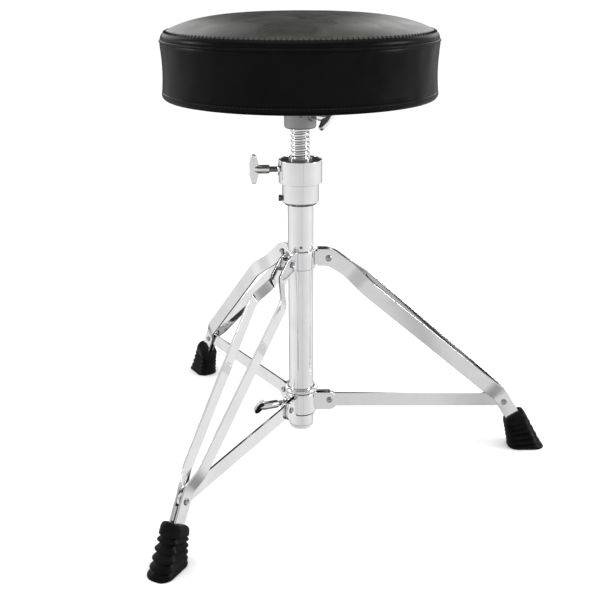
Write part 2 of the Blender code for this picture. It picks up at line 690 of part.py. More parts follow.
def threaded_spindle():
    """A rod with a coarse right-hand thread, a plain top end and a journal with a head at its foot."""
    profile = ((0.0, THREAD_ROOT), (0.32, THREAD_CREST), (0.70, THREAD_CREST))
    per_turn = len(profile)
    count = THREAD_TURNS * per_turn + 1
    bm = bmesh.new()

    def ring(radius, height):
        return [bm.verts.new(point) for point in circle(radius, height, THREAD_SIDES)]

    def join(low, high):
        for i in range(THREAD_SIDES):
            j = (i + 1) % THREAD_SIDES
            bm.faces.new((low[i], low[j], high[j], high[i]))

    columns = []
    for side in range(THREAD_SIDES):
        angle = math.tau * side / THREAD_SIDES
        column = []
        for k in range(count):
            share, radius = profile[k % per_turn]
            height = THREAD_BOTTOM + THREAD_PITCH * (k // per_turn + share + side / THREAD_SIDES)
            column.append(bm.verts.new((radius * math.cos(angle), radius * math.sin(angle), height)))
        columns.append(column)
    for here, there in zip(columns, columns[1:]):
        for k in range(count - 1):
            bm.faces.new((here[k], there[k], there[k + 1], here[k + 1]))
    first, last = columns[0], columns[-1]
    for k in range(count - 1 - per_turn):
        bm.faces.new((last[k], first[k + per_turn], first[k + per_turn + 1], last[k + 1]))
    for k in range(per_turn):
        bm.faces.new((last[0], first[k], first[k + 1]))
        top = count - 1 - k
        bm.faces.new((first[-1], last[top], last[top - 1]))

    foot = ring(THREAD_ROOT, THREAD_BOTTOM - 0.0008)
    head = ring(THREAD_ROOT, THREAD_BOTTOM + THREAD_PITCH * (THREAD_TURNS + 1))
    join(foot, [column[0] for column in columns])
    join([column[-1] for column in columns], head)
    below = [
        (JOURNAL_RADIUS, THREAD_BOTTOM - 0.0010),
        (JOURNAL_RADIUS, BUSH_BOTTOM - GAP),
        (0.0085, BUSH_BOTTOM - GAP),
        (0.0085, BUSH_BOTTOM - 0.0040),
    ]
    above = [
        (SPINDLE_END_RADIUS, THREAD_BOTTOM + THREAD_PITCH * (THREAD_TURNS + 1) + 0.0012),
        (SPINDLE_END_RADIUS, SPINDLE_TOP - 0.0008),
        (SPINDLE_END_RADIUS - 0.0008, SPINDLE_TOP),
    ]
    edge = foot
    for radius, height in below:
        lower = ring(radius, height)
        join(lower, edge)
        edge = lower
    bm.faces.new(edge[::-1])
    edge = head
    for radius, height in above:
        upper = ring(radius, height)
        join(edge, upper)
        edge = upper
    bm.faces.new(edge)
    return mesh_from(bm)


def guide_bush():
    """A plastic ring on the spindle's journal that runs in the tube."""
    bore = JOURNAL_RADIUS + GAP
    outer = TUBE_BORE - 2 * GAP
    wall = [(bore, BUSH_BOTTOM), (outer, BUSH_BOTTOM), (outer, BUSH_TOP), (bore, BUSH_TOP)]
    return turned(wall, 24, hollow=True)


# Seat


def seat_receiver():
    """The cast socket under the seat: a barrel with a blind bore, four webs and a square flange."""
    barrel = [
        (RECEIVER_RADIUS - 0.0020, RECEIVER_BOTTOM),
        (RECEIVER_RADIUS - 0.0008, RECEIVER_BOTTOM + 0.0012),
        (RECEIVER_RADIUS, FLANGE_BOTTOM + 0.001),
    ]
    outline = round_rectangle(FLANGE_HALF, FLANGE_HALF, FLANGE_CORNER, 3)
    top = BOARD_BOTTOM - GAP
    flange = loft([[(x, y, z) for x, y in outline] for z in (FLANGE_BOTTOM, top)])
    web = [
        (0.0150, 0.4220),
        (0.0200, 0.4240),
        (FLANGE_HALF - 0.006, FLANGE_BOTTOM + 0.001),
        (0.0150, FLANGE_BOTTOM + 0.001),
    ]
    webs = [
        placed(prism(web, -0.0015, 0.0015), Matrix.Rotation(math.radians(90 * i), 4, "Z")) for i in range(4)
    ]
    boss = placed(
        drill(0.0065, 0.0150, 0.0225, "X", (0, 0, SEAT_BOLT["height"])),
        Matrix.Rotation(math.radians(SEAT_BOLT["azimuth"]), 4, "Z"),
    )
    body = combined(turned(barrel, MEDIUM), "UNION", [flange, boss] + webs)
    socket = drill(RECEIVER_BORE, RECEIVER_BOTTOM - 0.01, SPINDLE_TOP + GAP, "Z", sides=MEDIUM)
    cutters = [socket, bolt_bore(SEAT_BOLT, SHANK_HOLE, 0.030)]
    for x, y in BOLT_PLACES:
        cutters.append(placed(drill(BOLT_RADIUS + GAP, 0.44, 0.47, "Z"), Matrix.Translation((x, y, 0))))
    return combined(body, "DIFFERENCE", cutters)


def receiver_bolt():
    """A hexagon bolt, up through the flange and the board."""
    head = turned([(0.0050, -0.0042), (0.0056, -0.0036), (0.0056, -GAP)], 6)
    shank = turned([(BOLT_RADIUS, -0.0020), (BOLT_RADIUS, 0.0150)], COARSE)
    return combined(head, "UNION", [shank])


def tee_nut():
    """A flanged nut on top of the board, with its barrel in the board's hole."""
    bore = BOLT_RADIUS + GAP
    wall = [(bore, -0.0085), (0.0042, -0.0085), (0.0042, 0.0), (0.0090, 0.0), (0.0090, 0.0012), (bore, 0.0012)]
    return turned(wall, COARSE, hollow=True)


def seat_board():
    """The round plywood board, with holes for the T-nuts."""
    disc = turned(
        [
            (BOARD_RADIUS - 0.001, BOARD_BOTTOM),
            (BOARD_RADIUS, BOARD_BOTTOM + 0.001),
            (BOARD_RADIUS, BOARD_TOP - 0.001),
            (BOARD_RADIUS - 0.001, BOARD_TOP),
        ],
        SEAT_SIDES,
    )
    holes = [placed(drill(0.0045, 0.4, 0.5, "Z"), Matrix.Translation((x, y, 0))) for x, y in BOLT_PLACES]
    return combined(disc, "DIFFERENCE", holes)


def crown(drop=0.0, inset=0.0):
    """The seat's domed top from its centre to the seam, lowered and drawn in to give the inner faces."""
    fall = SEAT_TOP - CROWN_EDGE_HEIGHT
    dome = []
    for radius in (0.006, 0.030, 0.060, 0.090, 0.118, 0.135):
        dome.append((radius, SEAT_TOP - drop - fall * (radius / CROWN_EDGE_RADIUS) ** CROWN_POWER))
    centre = (SEAT_RADIUS - 0.0012 - inset - SHOULDER_RADIUS, SEAM_HEIGHT + 0.0024)
    shoulder = arc(centre, SHOULDER_RADIUS, 70, 8, 3)
    return dome + [(radius, height - drop * 0.9) for radius, height in shoulder]


def seat_foam():
    """The foam pad between the board and the covers."""
    low = BOARD_TOP + 0.0016
    waist = SEAT_WAIST - SKIN - 3 * GAP
    top = crown(SKIN + 2 * GAP, SKIN + 2 * GAP)
    top = [(min(radius, waist), height) for radius, height in top]
    profile = top[:-1] + [(waist - GAP, SEAM_HEIGHT - 0.001), (waist - GAP, low + 0.002), (waist - 0.002, low)]
    pad = turned(profile[::-1], SEAT_SIDES)
    cups = [
        placed(drill(0.0100, low - 0.01, low + 0.0030, "Z"), Matrix.Translation((x, y, 0)))
        for x, y in BOLT_PLACES
    ]
    return combined(pad, "DIFFERENCE", cups)


def seat_top_cover():
    """The top panel: a thin dished skin whose edge turns down to the seam."""
    outer = crown()
    inner = crown(SKIN, SKIN)
    skirt = SEAM_HEIGHT + PIPING_RADIUS + GAP
    outer = [p for p in outer if p[1] > skirt + 0.0005] + [(SEAT_RADIUS - 0.0012, skirt)]
    inner = [p for p in inner if p[1] > skirt + 0.0005] + [(SEAT_RADIUS - 0.0012 - SKIN, skirt)]
    rings = [circle(radius, height, SEAT_SIDES) for radius, height in outer + inner[::-1]]
    return loft(rings)


def seat_side_band():
    """The side panel, a little waisted, with its hem turned under the board."""
    top = SEAM_HEIGHT - PIPING_RADIUS - GAP
    middle = (SEAT_BOTTOM + SEAM_HEIGHT) / 2
    outer = [(HEM_RADIUS, SEAT_BOTTOM)]
    outer += arc((SEAT_RADIUS - 0.0050, SEAT_BOTTOM + 0.0050), 0.0050, -90, 0, 2)
    outer += [(SEAT_WAIST, middle), (SEAT_RADIUS, SEAM_HEIGHT - 0.006), (SEAT_RADIUS - 0.0004, top)]
    inner = [(HEM_RADIUS, SEAT_BOTTOM + SKIN)]
    inner += arc((SEAT_RADIUS - 0.0050, SEAT_BOTTOM + 0.0050), 0.0050 - SKIN, -90, 0, 2)
    inner += [(SEAT_WAIST - SKIN, middle), (SEAT_RADIUS - SKIN, SEAM_HEIGHT - 0.006)]
    inner += [(SEAT_RADIUS - 0.0004 - SKIN, top)]
    return turned(outer + inner[::-1], SEAT_SIDES, hollow=True)


def seat_piping():
    """The welt sewn into the seam between the top panel and the side band."""
    loop = arc((SEAT_RADIUS - 0.0012, SEAM_HEIGHT), PIPING_RADIUS, 0, 315, 7)
    return turned(loop, SEAT_SIDES, hollow=True)


def seat_bottom_cloth():
    """A thin cloth under the board, inside the hem, open round the receiver's flange."""
    low = SEAT_BOTTOM + 0.0003
    high = low + 0.0008
    inner = FLANGE_HALF * math.sqrt(2)
    wall = [(inner, low), (HEM_RADIUS - GAP, low), (HEM_RADIUS - GAP, high), (inner, high)]
    return turned(wall, SEAT_SIDES, hollow=True)


def build_seat(post):
    """The spindle and everything above it."""
    part("guide_bush", guide_bush(), BLACK_PLASTIC, post)
    part("threaded_spindle", threaded_spindle(), CHROME, post)
    part("seat_receiver", seat_receiver(), RECEIVER_STEEL, post)
    bolt, nut = receiver_bolt(), tee_nut()
    for number, (x, y) in enumerate(BOLT_PLACES, 1):
        part(f"receiver_bolt_{number}", bolt, ZINC_STEEL, post, (x, y, FLANGE_BOTTOM))
        part(f"tee_nut_{number}", nut, ZINC_STEEL, post, (x, y, BOARD_TOP + GAP))
    part("seat_board", seat_board(), PLYWOOD, post)
    part("seat_foam", seat_foam(), FOAM, post)
    part("seat_top_cover", seat_top_cover(), TOP_VINYL, post)
    part("seat_side_band", seat_side_band(), SIDE_VINYL, post)
    part("seat_piping", seat_piping(), SIDE_VINYL, post)
    part("seat_bottom_cloth", seat_bottom_cloth(), CLOTH, post)


for old in list(bpy.data.objects):
    bpy.data.objects.remove(old)

CHROME = finish("chrome", (0.82, 0.82, 0.83), 0.08, 1.0)
RIVET_STEEL = finish("rivet_steel", (0.60, 0.60, 0.61), 0.22, 1.0)
ZINC_STEEL = finish("zinc_steel", (0.62, 0.62, 0.60), 0.30, 1.0)
DARK_STEEL = finish("dark_steel", (0.18, 0.18, 0.18), 0.35, 1.0)
RECEIVER_STEEL = finish("receiver_steel", (0.42, 0.42, 0.41), 0.45, 0.6)
BLACK_RUBBER = finish("black_rubber", (0.015, 0.015, 0.015), 0.55)
GREY_PLASTIC = finish("grey_plastic", (0.62, 0.62, 0.61), 0.45)
BLACK_PLASTIC = finish("black_plastic", (0.02, 0.02, 0.02), 0.40)
TOP_VINYL = finish("top_vinyl", (0.030, 0.029, 0.027), 0.42)
SIDE_VINYL = finish("side_vinyl", (0.008, 0.008, 0.008), 0.30)
PLYWOOD = finish("plywood", (0.55, 0.40, 0.24), 0.7)
FOAM = finish("seat_foam", (0.75, 0.70, 0.45), 0.9)
CLOTH = finish("dust_cloth", (0.012, 0.012, 0.012), 0.9)

post_axis = pivot("post_axis", (0.0, 0.0, 0.0))
build_stand(post_axis)
build_legs(post_axis)
build_seat(post_axis)
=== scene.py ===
"""Looks of a drum throne: a round padded seat on a threaded spindle, over a folding chrome stand."""

import json
import logging
import math
from dataclasses import dataclass, field
from enum import Enum
from typing import Any, Iterable, Optional, Sequence, Union

import bpy
from mathutils import Matrix, Vector, noise


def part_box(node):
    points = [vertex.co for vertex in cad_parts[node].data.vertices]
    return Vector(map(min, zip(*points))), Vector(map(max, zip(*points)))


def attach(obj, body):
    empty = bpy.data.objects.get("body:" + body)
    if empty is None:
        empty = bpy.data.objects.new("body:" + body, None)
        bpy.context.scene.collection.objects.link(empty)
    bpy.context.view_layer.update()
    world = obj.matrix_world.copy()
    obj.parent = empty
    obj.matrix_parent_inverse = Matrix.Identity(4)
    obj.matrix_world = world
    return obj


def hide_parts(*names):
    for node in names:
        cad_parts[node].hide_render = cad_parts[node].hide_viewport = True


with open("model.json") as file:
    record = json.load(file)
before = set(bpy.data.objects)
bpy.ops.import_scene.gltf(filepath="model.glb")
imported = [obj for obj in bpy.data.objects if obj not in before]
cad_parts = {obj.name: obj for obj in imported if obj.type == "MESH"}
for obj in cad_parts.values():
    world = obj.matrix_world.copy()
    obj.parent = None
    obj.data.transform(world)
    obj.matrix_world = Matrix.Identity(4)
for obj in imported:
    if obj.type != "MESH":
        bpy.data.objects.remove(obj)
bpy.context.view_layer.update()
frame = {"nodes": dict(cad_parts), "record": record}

LOG = logging.getLogger("drum_throne")

Point = tuple[float, float]
Colour = tuple[float, float, float]
Stops = Sequence[tuple[float, float]]

GAP = 0.0003  # clearance between pieces that touch
WELD = 0.000001  # points nearer than this are one point
ROUND = 96  # sides of a tube or a collar
SMALL_ROUND = 32  # sides of a rivet, a boss or a screw
RIDGE = ((1.0, 0.0), (0.94, 0.04), (0.42, 0.13), (0.14, 0.24), (0.0, 0.42), (0.0, 0.58), (0.14, 0.76),
         (0.42, 0.87), (0.94, 0.96), (1.0, 1.0))  # a thread's section as shares of its depth and its pitch
GROOVE = ((-0.0014, 0.92), (-0.0008, 1.0), (-0.0004, 0.9), (-0.0001, 0.1), (0.0005, 0.0), (0.0013, 0.08),
          (0.0034, 0.5))  # the groove under a foot's rib as rises and shares of its depth
CORNERS = ((0, 1, 1), (90, -1, 1), (180, -1, -1), (270, 1, -1))  # first angle and quarter of each corner


class Turn(Enum):
    """The axis that a piece made about Z is laid along, as an angle in degrees and an axis to turn about."""

    SIDEWAYS = (-90.0, "X")
    OUTWARD = (90.0, "Y")

    def matrix(self) -> Matrix:
        """The turn itself."""
        angle, axis = self.value
        return Matrix.Rotation(math.radians(angle), 4, axis)


class Leg(Enum):
    """The three legs, each with its direction from the post in degrees."""

    RIGHT = 0.0
    FRONT = -120.0
    BACK = 120.0

    @property
    def label(self) -> str:
        """The leg's name in the frame's nodes."""
        return self.name.lower()

    def matrix(self) -> Matrix:
        """The place of this leg's upright plane."""
        return post_place() @ facing(self.value)


def post_place() -> Matrix:
    """The post's axis, from the middle of the outer tube's box."""
    low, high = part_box("outer_tube")
    return Matrix.Translation(((low.x + high.x) / 2, 0.0, 0.0))


def facing(azimuth: float) -> Matrix:
    """A turn about the post in degrees."""
    return Matrix.Rotation(math.radians(azimuth), 4, "Z")


def raised(height: float) -> Matrix:
    """A move straight up."""
    return Matrix.Translation((0.0, 0.0, height))


def outward(azimuth: float, height: float) -> Matrix:
    """The place of a piece made about Z that is to point away from the post.

    Args:
        azimuth: Where it points, in degrees round the post.
        height: How high it sits.

    Returns:
        The place, with Z turned outwards.
    """
    return facing(azimuth) @ raised(height) @ Turn.OUTWARD.matrix()


def arc(centre: Point, radius: float, start: float, end: float, steps: int) -> list[Point]:
    """Points on an arc in a plane.

    Args:
        centre: The arc's centre.
        radius: Its radius.
        start: The first angle in degrees.
        end: The last angle in degrees.
        steps: How many straight pieces it has.

    Returns:
        The points, from start to end.
    """
    angles = (math.radians(start + (end - start) * i / steps) for i in range(steps + 1))
    return [(centre[0] + radius * math.cos(a), centre[1] + radius * math.sin(a)) for a in angles]


def rounded_box(half: Point, corner: float, steps: int) -> list[Point]:
    """Outline of a rectangle with round corners about its centre.

    Args:
        half: Half its length and half its width.
        corner: The radius of its corners.
        steps: How many straight pieces each corner has.

    Returns:
        The points, all the way round.
    """
    outline: list[Point] = []
    for start, sx, sy in CORNERS:
        centre = (sx * (half[0] - corner), sy * (half[1] - corner))
        outline += arc(centre, corner, start, start + 90, steps)
    return outline


# Shaping


class Shape:
    """A piece under way, from a first point to a closed mesh."""

    def __init__(self, name: str) -> None:
        """Starts a piece from one small plane at the origin.

        Args:
            name: The piece's name.
        """
        self.settle()
        bpy.ops.mesh.primitive_plane_add(size=0.01)
        self.piece = bpy.context.object
        self.piece.name = name
        self.piece.data.name = name

    @staticmethod
    def settle() -> None:
        """Goes back to object mode with nothing selected."""
        if bpy.context.mode != "OBJECT":
            bpy.ops.object.mode_set(mode="OBJECT")
        bpy.ops.object.select_all(action="DESELECT")

    def edit(self) -> None:
        """Opens the piece in edit mode with all of it selected."""
        self.take()
        bpy.ops.object.mode_set(mode="EDIT")
        bpy.ops.mesh.select_all(action="SELECT")

    def take(self) -> None:
        """Makes the piece the one that operators act on."""
        self.settle()
        self.piece.select_set(True)
        bpy.context.view_layer.objects.active = self.piece

    def draw(self, points: Sequence[Vector], closed: bool) -> "Shape":
        """Draws a line through points, from the plane drawn together into one point.

        Args:
            points: The places to pass through.
            closed: Whether the line comes back to its start.

        Returns:
            This shape.
        """
        self.edit()
        bpy.ops.mesh.merge(type="CENTER")
        bpy.ops.transform.translate(value=points[0])
        route = list(points) + ([points[0]] if closed else [])
        for here, there in zip(route, route[1:]):
            bpy.ops.mesh.extrude_vertices_move(TRANSFORM_OT_translate={"value": there - here})
        bpy.ops.mesh.select_all(action="SELECT")
        bpy.ops.mesh.remove_doubles(threshold=WELD)
        return self

    def step(self, kind: str, **settings: Any) -> "Shape":
        """Adds a modifier with these settings and applies it.

        Args:
            kind: The modifier's type.
            **settings: Its properties.

        Returns:
            This shape.
        """
        self.take()
        modifier = self.piece.modifiers.new(kind.lower(), kind)
        for key, value in settings.items():
            setattr(modifier, key, value)
        bpy.ops.object.modifier_apply(modifier=modifier.name)
        return self

    def sweep(self, sides: int, **settings: Any) -> "Shape":
        """Turns the drawn line round Z.

        Args:
            sides: How many sides one turn has.
            **settings: More properties of the Screw modifier.

        Returns:
            This shape.
        """
        return self.step("SCREW", steps=sides, render_steps=sides, use_merge_vertices=True,
                         merge_threshold=WELD * 10, **settings)

    def close(self) -> "Shape":
        """Welds doubles and turns every face outwards."""
        self.edit()
        bpy.ops.mesh.remove_doubles(threshold=WELD)
        bpy.ops.mesh.normals_make_consistent(inside=False)
        self.settle()
        return self

    def outwards(self) -> "Shape":
        """Turns a closed piece right side out when its volume comes out negative."""
        self.piece.data.calc_loop_triangles()
        points = [vertex.co for vertex in self.piece.data.vertices]
        volume = sum(
            points[a].dot(points[b].cross(points[c]))
            for a, b, c in (triangle.vertices for triangle in self.piece.data.loop_triangles)
        )
        if volume < 0.0:
            self.turn_over()
        return self

    def turn_over(self) -> None:
        """Turns every face round."""
        self.edit()
        bpy.ops.mesh.flip_normals()
        self.settle()

    def bevel(self, width: float, segments: int = 3, least: float = 28.0) -> "Shape":
        """Rounds every edge sharper than an angle.

        Args:
            width: How far the rounding reaches.
            segments: How many faces it has.
            least: The angle in degrees.

        Returns:
            This shape.
        """
        return self.step("BEVEL", width=width, segments=segments, limit_method="ANGLE",
                         angle_limit=math.radians(least), use_clamp_overlap=True)

    def combine(self, operation: str, others: Iterable["Shape"]) -> "Shape":
        """Joins or cuts the piece with others, which are used up.

        Args:
            operation: UNION or DIFFERENCE.
            others: The shapes that are joined or cut away.

        Returns:
            This shape.
        """
        for other in others:
            self.step("BOOLEAN", operation=operation, object=other.piece, solver="EXACT")
            bpy.data.objects.remove(other.piece)
        return self

    def place(self, matrix: Matrix) -> "Shape":
        """Moves the piece and puts its place in its mesh."""
        self.take()
        self.piece.matrix_world = matrix
        bpy.ops.object.transform_apply(location=True, rotation=True, scale=True)
        return self

    def copy(self, name: str, matrix: Matrix) -> "Shape":
        """A copy with its own mesh, placed.

        Args:
            name: The copy's name.
            matrix: Its place.

        Returns:
            The copy.
        """
        twin = Shape.__new__(Shape)
        twin.piece = self.piece.copy()
        twin.piece.data = self.piece.data.copy()
        twin.piece.name = name
        twin.piece.data.name = name
        bpy.context.scene.collection.objects.link(twin.piece)
        return twin.place(matrix)

    def drop(self) -> None:
        """Removes a master that was only copied."""
        bpy.data.objects.remove(self.piece)

    def dress(self, finish: "Finish", nodes: Sequence[str], sharp: float = 32.0,
              stands: bool = True) -> None:
        """Smooths, paints and hands over the piece.

        Args:
            finish: The piece's finish.
            nodes: The frame's nodes that it stands for, or rides with.
            sharp: Edges over this angle in degrees stay crisp.
            stands: Whether it replaces the nodes.
        """
        self.take()
        bpy.ops.object.shade_smooth_by_angle(angle=math.radians(sharp))
        if isinstance(finish, Plated):
            self.step("WEIGHTED_NORMAL", keep_sharp=True, weight=80)
        self.piece.data.materials.clear()
        self.piece.data.materials.append(finish.material())
        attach(self.piece, body_of(nodes[0]))
        if stands:
            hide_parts(*nodes)
        self.settle()
        LOG.info("%s rides on %s", self.piece.name, body_of(nodes[0]))


def body_of(node: str) -> str:
    """The frame's body that holds a node."""
    bodies = frame["record"]["behaviour"]["bodies"]
    return next(body for body, members in bodies.items() if node in members)


def turned(name: str, profile: Sequence[Point], sides: int = ROUND, hollow: bool = False) -> Shape:
    """A piece turned about Z.

    Args:
        name: Its name.
        profile: Points as (radius, height), from the bottom up.
        sides: How many sides it has.
        hollow: Whether the profile is a closed loop off the axis.

    Returns:
        The shape.
    """
    points = list(profile)
    if not hollow:
        points = [(0.0, points[0][1])] + points + [(0.0, points[-1][1])]
    shape = Shape(name).draw([Vector((radius, 0.0, height)) for radius, height in points], hollow)
    return shape.sweep(sides).close()


def plate(name: str, outline: Sequence[Point], low: float, high: float, edge: float) -> Shape:
    """A flat piece with rounded edges.

    Args:
        name: Its name.
        outline: Points as (x, z).
        low: Its lowest y.
        high: Its highest y.
        edge: The radius of its edges.

    Returns:
        The shape.
    """
    shape = Shape(name).draw([Vector((x, low, z)) for x, z in outline], True)
    bpy.ops.mesh.edge_face_add()
    bpy.ops.mesh.extrude_region_move(TRANSFORM_OT_translate={"value": (0.0, high - low, 0.0)})
    return shape.close().bevel(edge)


def thread(name: str, root: float, crest: float, pitch: float, turns: int, bottom: float,
           sides: int) -> Shape:
    """A right-hand thread about Z, with wide round ridges and narrow grooves.

    Args:
        name: Its name.
        root: Its smallest radius.
        crest: Its largest radius.
        pitch: How far it climbs in one turn.
        turns: How many turns it has.
        bottom: Where it starts.
        sides: Steps in one turn.

    Returns:
        The shape, closed at both ends.
    """
    depth = crest - root
    rows = [Vector((crest - depth * fall, 0.0, bottom + pitch * share)) for fall, share in RIDGE]
    shape = Shape(name).draw(rows, False)
    shape.sweep(sides, screw_offset=pitch, iterations=turns)
    shape.edit()
    bpy.ops.mesh.remove_doubles(threshold=WELD * 5)
    bpy.ops.mesh.fill_holes(sides=0)
    shape.close()
    return shape.outwards()


# Finishes


Number = Union["Value", float]


class Value:
    """A shader socket that takes part in sums."""

    def __init__(self, recipe: "Recipe", socket: bpy.types.NodeSocket) -> None:
        """Wraps a socket of a recipe."""
        self.recipe = recipe
        self.socket = socket

    def _sum(self, operation: str, first: Number, second: Number) -> "Value":
        """Adds one Math node of two terms."""
        return self.recipe.node("ShaderNodeMath", {"operation": operation}, {0: first, 1: second})

    def __add__(self, other: Number) -> "Value":
        """This value plus another."""
        return self._sum("ADD", self, other)

    __radd__ = __add__

    def __sub__(self, other: Number) -> "Value":
        """This value less another."""
        return self._sum("SUBTRACT", self, other)

    def __rsub__(self, other: Number) -> "Value":
        """Another value less this one."""
        return self._sum("SUBTRACT", other, self)

    def __mul__(self, other: Number) -> "Value":
        """This value times another."""
        return self._sum("MULTIPLY", self, other)

    __rmul__ = __mul__


class Recipe:
    """The nodes of one material or world."""

    def __init__(self, tree: bpy.types.NodeTree) -> None:
        """Starts on a node tree."""
        self.tree = tree

    def node(self, kind: str, settings: dict[str, Any], inputs: dict[Any, Any], output: Any = 0) -> Value:
        """Adds a node.

        Args:
            kind: The node's type.
            settings: Its properties, set first; stops is a colour ramp's list of (place, grey).
            inputs: The values or links of its sockets.
            output: The socket that is handed back.

        Returns:
            That socket.
        """
        node = self.tree.nodes.new(kind)
        for key, value in settings.items():
            if key == "stops":
                self._stops(node.color_ramp, value)
            else:
                setattr(node, key, value)
        for key, value in inputs.items():
            self.feed(node.inputs[key], value)
        return Value(self, node.outputs[output])

    def feed(self, socket: bpy.types.NodeSocket, value: Any) -> None:
        """Links or sets one input socket."""
        if isinstance(value, Value):
            self.tree.links.new(value.socket, socket)
        else:
            socket.default_value = value

    @staticmethod
    def _stops(ramp: bpy.types.ColorRamp, stops: Stops) -> None:
        """Sets a ramp's stops to greys."""
        while len(ramp.elements) > 1:
            ramp.elements.remove(ramp.elements[-1])
        for number, (place, grey) in enumerate(stops):
            element = ramp.elements[0] if number == 0 else ramp.elements.new(place)
            element.position = place
            element.color = (grey, grey, grey, 1.0)

    def place(self, stretch: tuple[float, float, float] = (1.0, 1.0, 1.0)) -> Value:
        """Object coordinates, stretched."""
        spot = self.node("ShaderNodeTexCoord", {}, {}, "Object")
        return self.node("ShaderNodeMapping", {}, {"Vector": spot, "Scale": stretch})

    def cloud(self, scale: float, detail: float, stretch: tuple[float, float, float] = (1.0, 1.0, 1.0),
              distortion: float = 0.0) -> Value:
        """A noise from 0 to 1.

        Args:
            scale: How fine it is.
            detail: How many finer layers it has.
            stretch: How much it is squeezed along each axis.
            distortion: How much it swirls.

        Returns:
            The noise.
        """
        inputs = {"Vector": self.place(stretch), "Scale": scale, "Detail": detail, "Distortion": distortion}
        return self.node("ShaderNodeTexNoise", {}, inputs, "Fac")

    def ramp(self, value: Value, stops: Stops) -> Value:
        """A value through a table of places and greys."""
        return self.node("ShaderNodeValToRGB", {"stops": stops}, {"Fac": value})

    def blend(self, share: Number, first: Colour, second: Colour) -> Value:
        """A colour between two.

        Args:
            share: How far from the first to the second.
            first: The colour at 0.
            second: The colour at 1.

        Returns:
            The colour.
        """
        inputs = {0: share, 6: (*first, 1.0), 7: (*second, 1.0)}
        return self.node("ShaderNodeMix", {"data_type": "RGBA"}, inputs, 2)

    def bump(self, height: Value, depth: float, strength: float, under: Optional[Value] = None) -> Value:
        """A bumped normal.

        Args:
            height: The relief.
            depth: How deep it is.
            strength: How much of it shows.
            under: Another bumped normal that it lies on.

        Returns:
            The normal.
        """
        inputs: dict[Any, Any] = {"Height": height, "Distance": depth, "Strength": strength}
        if under is not None:
            inputs["Normal"] = under
        return self.node("ShaderNodeBump", {}, inputs)


@dataclass(frozen=True)
class Finish:
    """A named surface finish."""

    name: str
    slot: str

    def material(self) -> bpy.types.Material:
        """The finish's material, made once."""
        found = bpy.data.materials.get("look_" + self.name)
        if found is not None:
            return found
        material = bpy.data.materials.new("look_" + self.name)
        material.use_nodes = True
        recipe = Recipe(material.node_tree)
        shader = material.node_tree.nodes["Principled BSDF"]
        for key, value in self.mix(recipe).items():
            recipe.feed(shader.inputs[key], value)
        return material

    def mix(self, recipe: Recipe) -> dict[str, Any]:
        """The shader's inputs; each finish gives its own."""
        raise NotImplementedError


@dataclass(frozen=True)
class Plated(Finish):
    """Bright or satin metal plate with haze, faint specks and fine scratches."""

    light: Colour = (0.84, 0.84, 0.85)
    dull: Colour = (0.74, 0.74, 0.755)
    roughness: float = 0.035
    haze: float = 0.06
    brushed: tuple[float, float, float] = (1.0, 1.0, 0.06)
    scratch: float = 0.00001
    metallic: float = 1.0

    def mix(self, recipe: Recipe) -> dict[str, Any]:
        """Handling haze in broad patches, hairline scratches and rare dull specks."""
        patches = recipe.ramp(recipe.cloud(28.0, 5.0, distortion=0.6), ((0.40, 0.0), (0.78, 1.0)))
        hairs = recipe.cloud(900.0, 3.0, self.brushed)
        specks = recipe.ramp(recipe.cloud(420.0, 2.0), ((0.70, 0.0), (0.76, 1.0)))
        cloudy = patches * (self.haze * 0.6) + specks * (self.haze * 1.2) + hairs * (self.haze * 0.35)
        return {
            "Base Color": recipe.blend(patches * 0.7 + specks * 0.3, self.light, self.dull),
            "Metallic": self.metallic,
            "Roughness": self.roughness + cloudy,
            "Normal": recipe.bump(hairs, self.scratch, 0.5),
        }


@dataclass(frozen=True)
class Vinyl(Finish):
    """Upholstery vinyl with a fine pebbled grain, soft mottling and stretch marks."""

    deep: Colour = (0.010, 0.010, 0.010)
    worn: Colour = (0.020, 0.020, 0.019)
    roughness: float = 0.34
    spread: float = 0.16
    grain: float = 1500.0
    depth: float = 0.00012
    soft_waves: float = 0.0012
    specular: float = 0.30

    def mix(self, recipe: Recipe) -> dict[str, Any]:
        """Pebbles in the bump, and mottling in the colour and the roughness."""
        cells = recipe.node("ShaderNodeTexVoronoi", {"feature": "SMOOTH_F1"},
                            {"Vector": recipe.place(), "Scale": self.grain, "Smoothness": 0.6}, "Distance")
        mottle = recipe.cloud(34.0, 6.0, distortion=1.2)
        streaks = recipe.cloud(14.0, 3.0, (1.0, 3.0, 1.0), 0.8)
        waves = recipe.cloud(11.0, 2.0)
        pores = recipe.cloud(self.grain * 0.6, 2.0)
        tone = recipe.ramp(mottle * 0.6 + streaks * 0.4, ((0.30, 0.0), (0.70, 1.0)))
        broad = recipe.bump(waves, self.soft_waves, 0.5)
        fine = recipe.bump(cells + pores * 0.4, self.depth, 0.55, broad)
        return {
            "Base Color": recipe.blend(tone, self.deep, self.worn),
            "Roughness": self.roughness + (tone - 0.5) * self.spread + pores * 0.05,
            "Specular IOR Level": self.specular,
            "Normal": fine,
        }


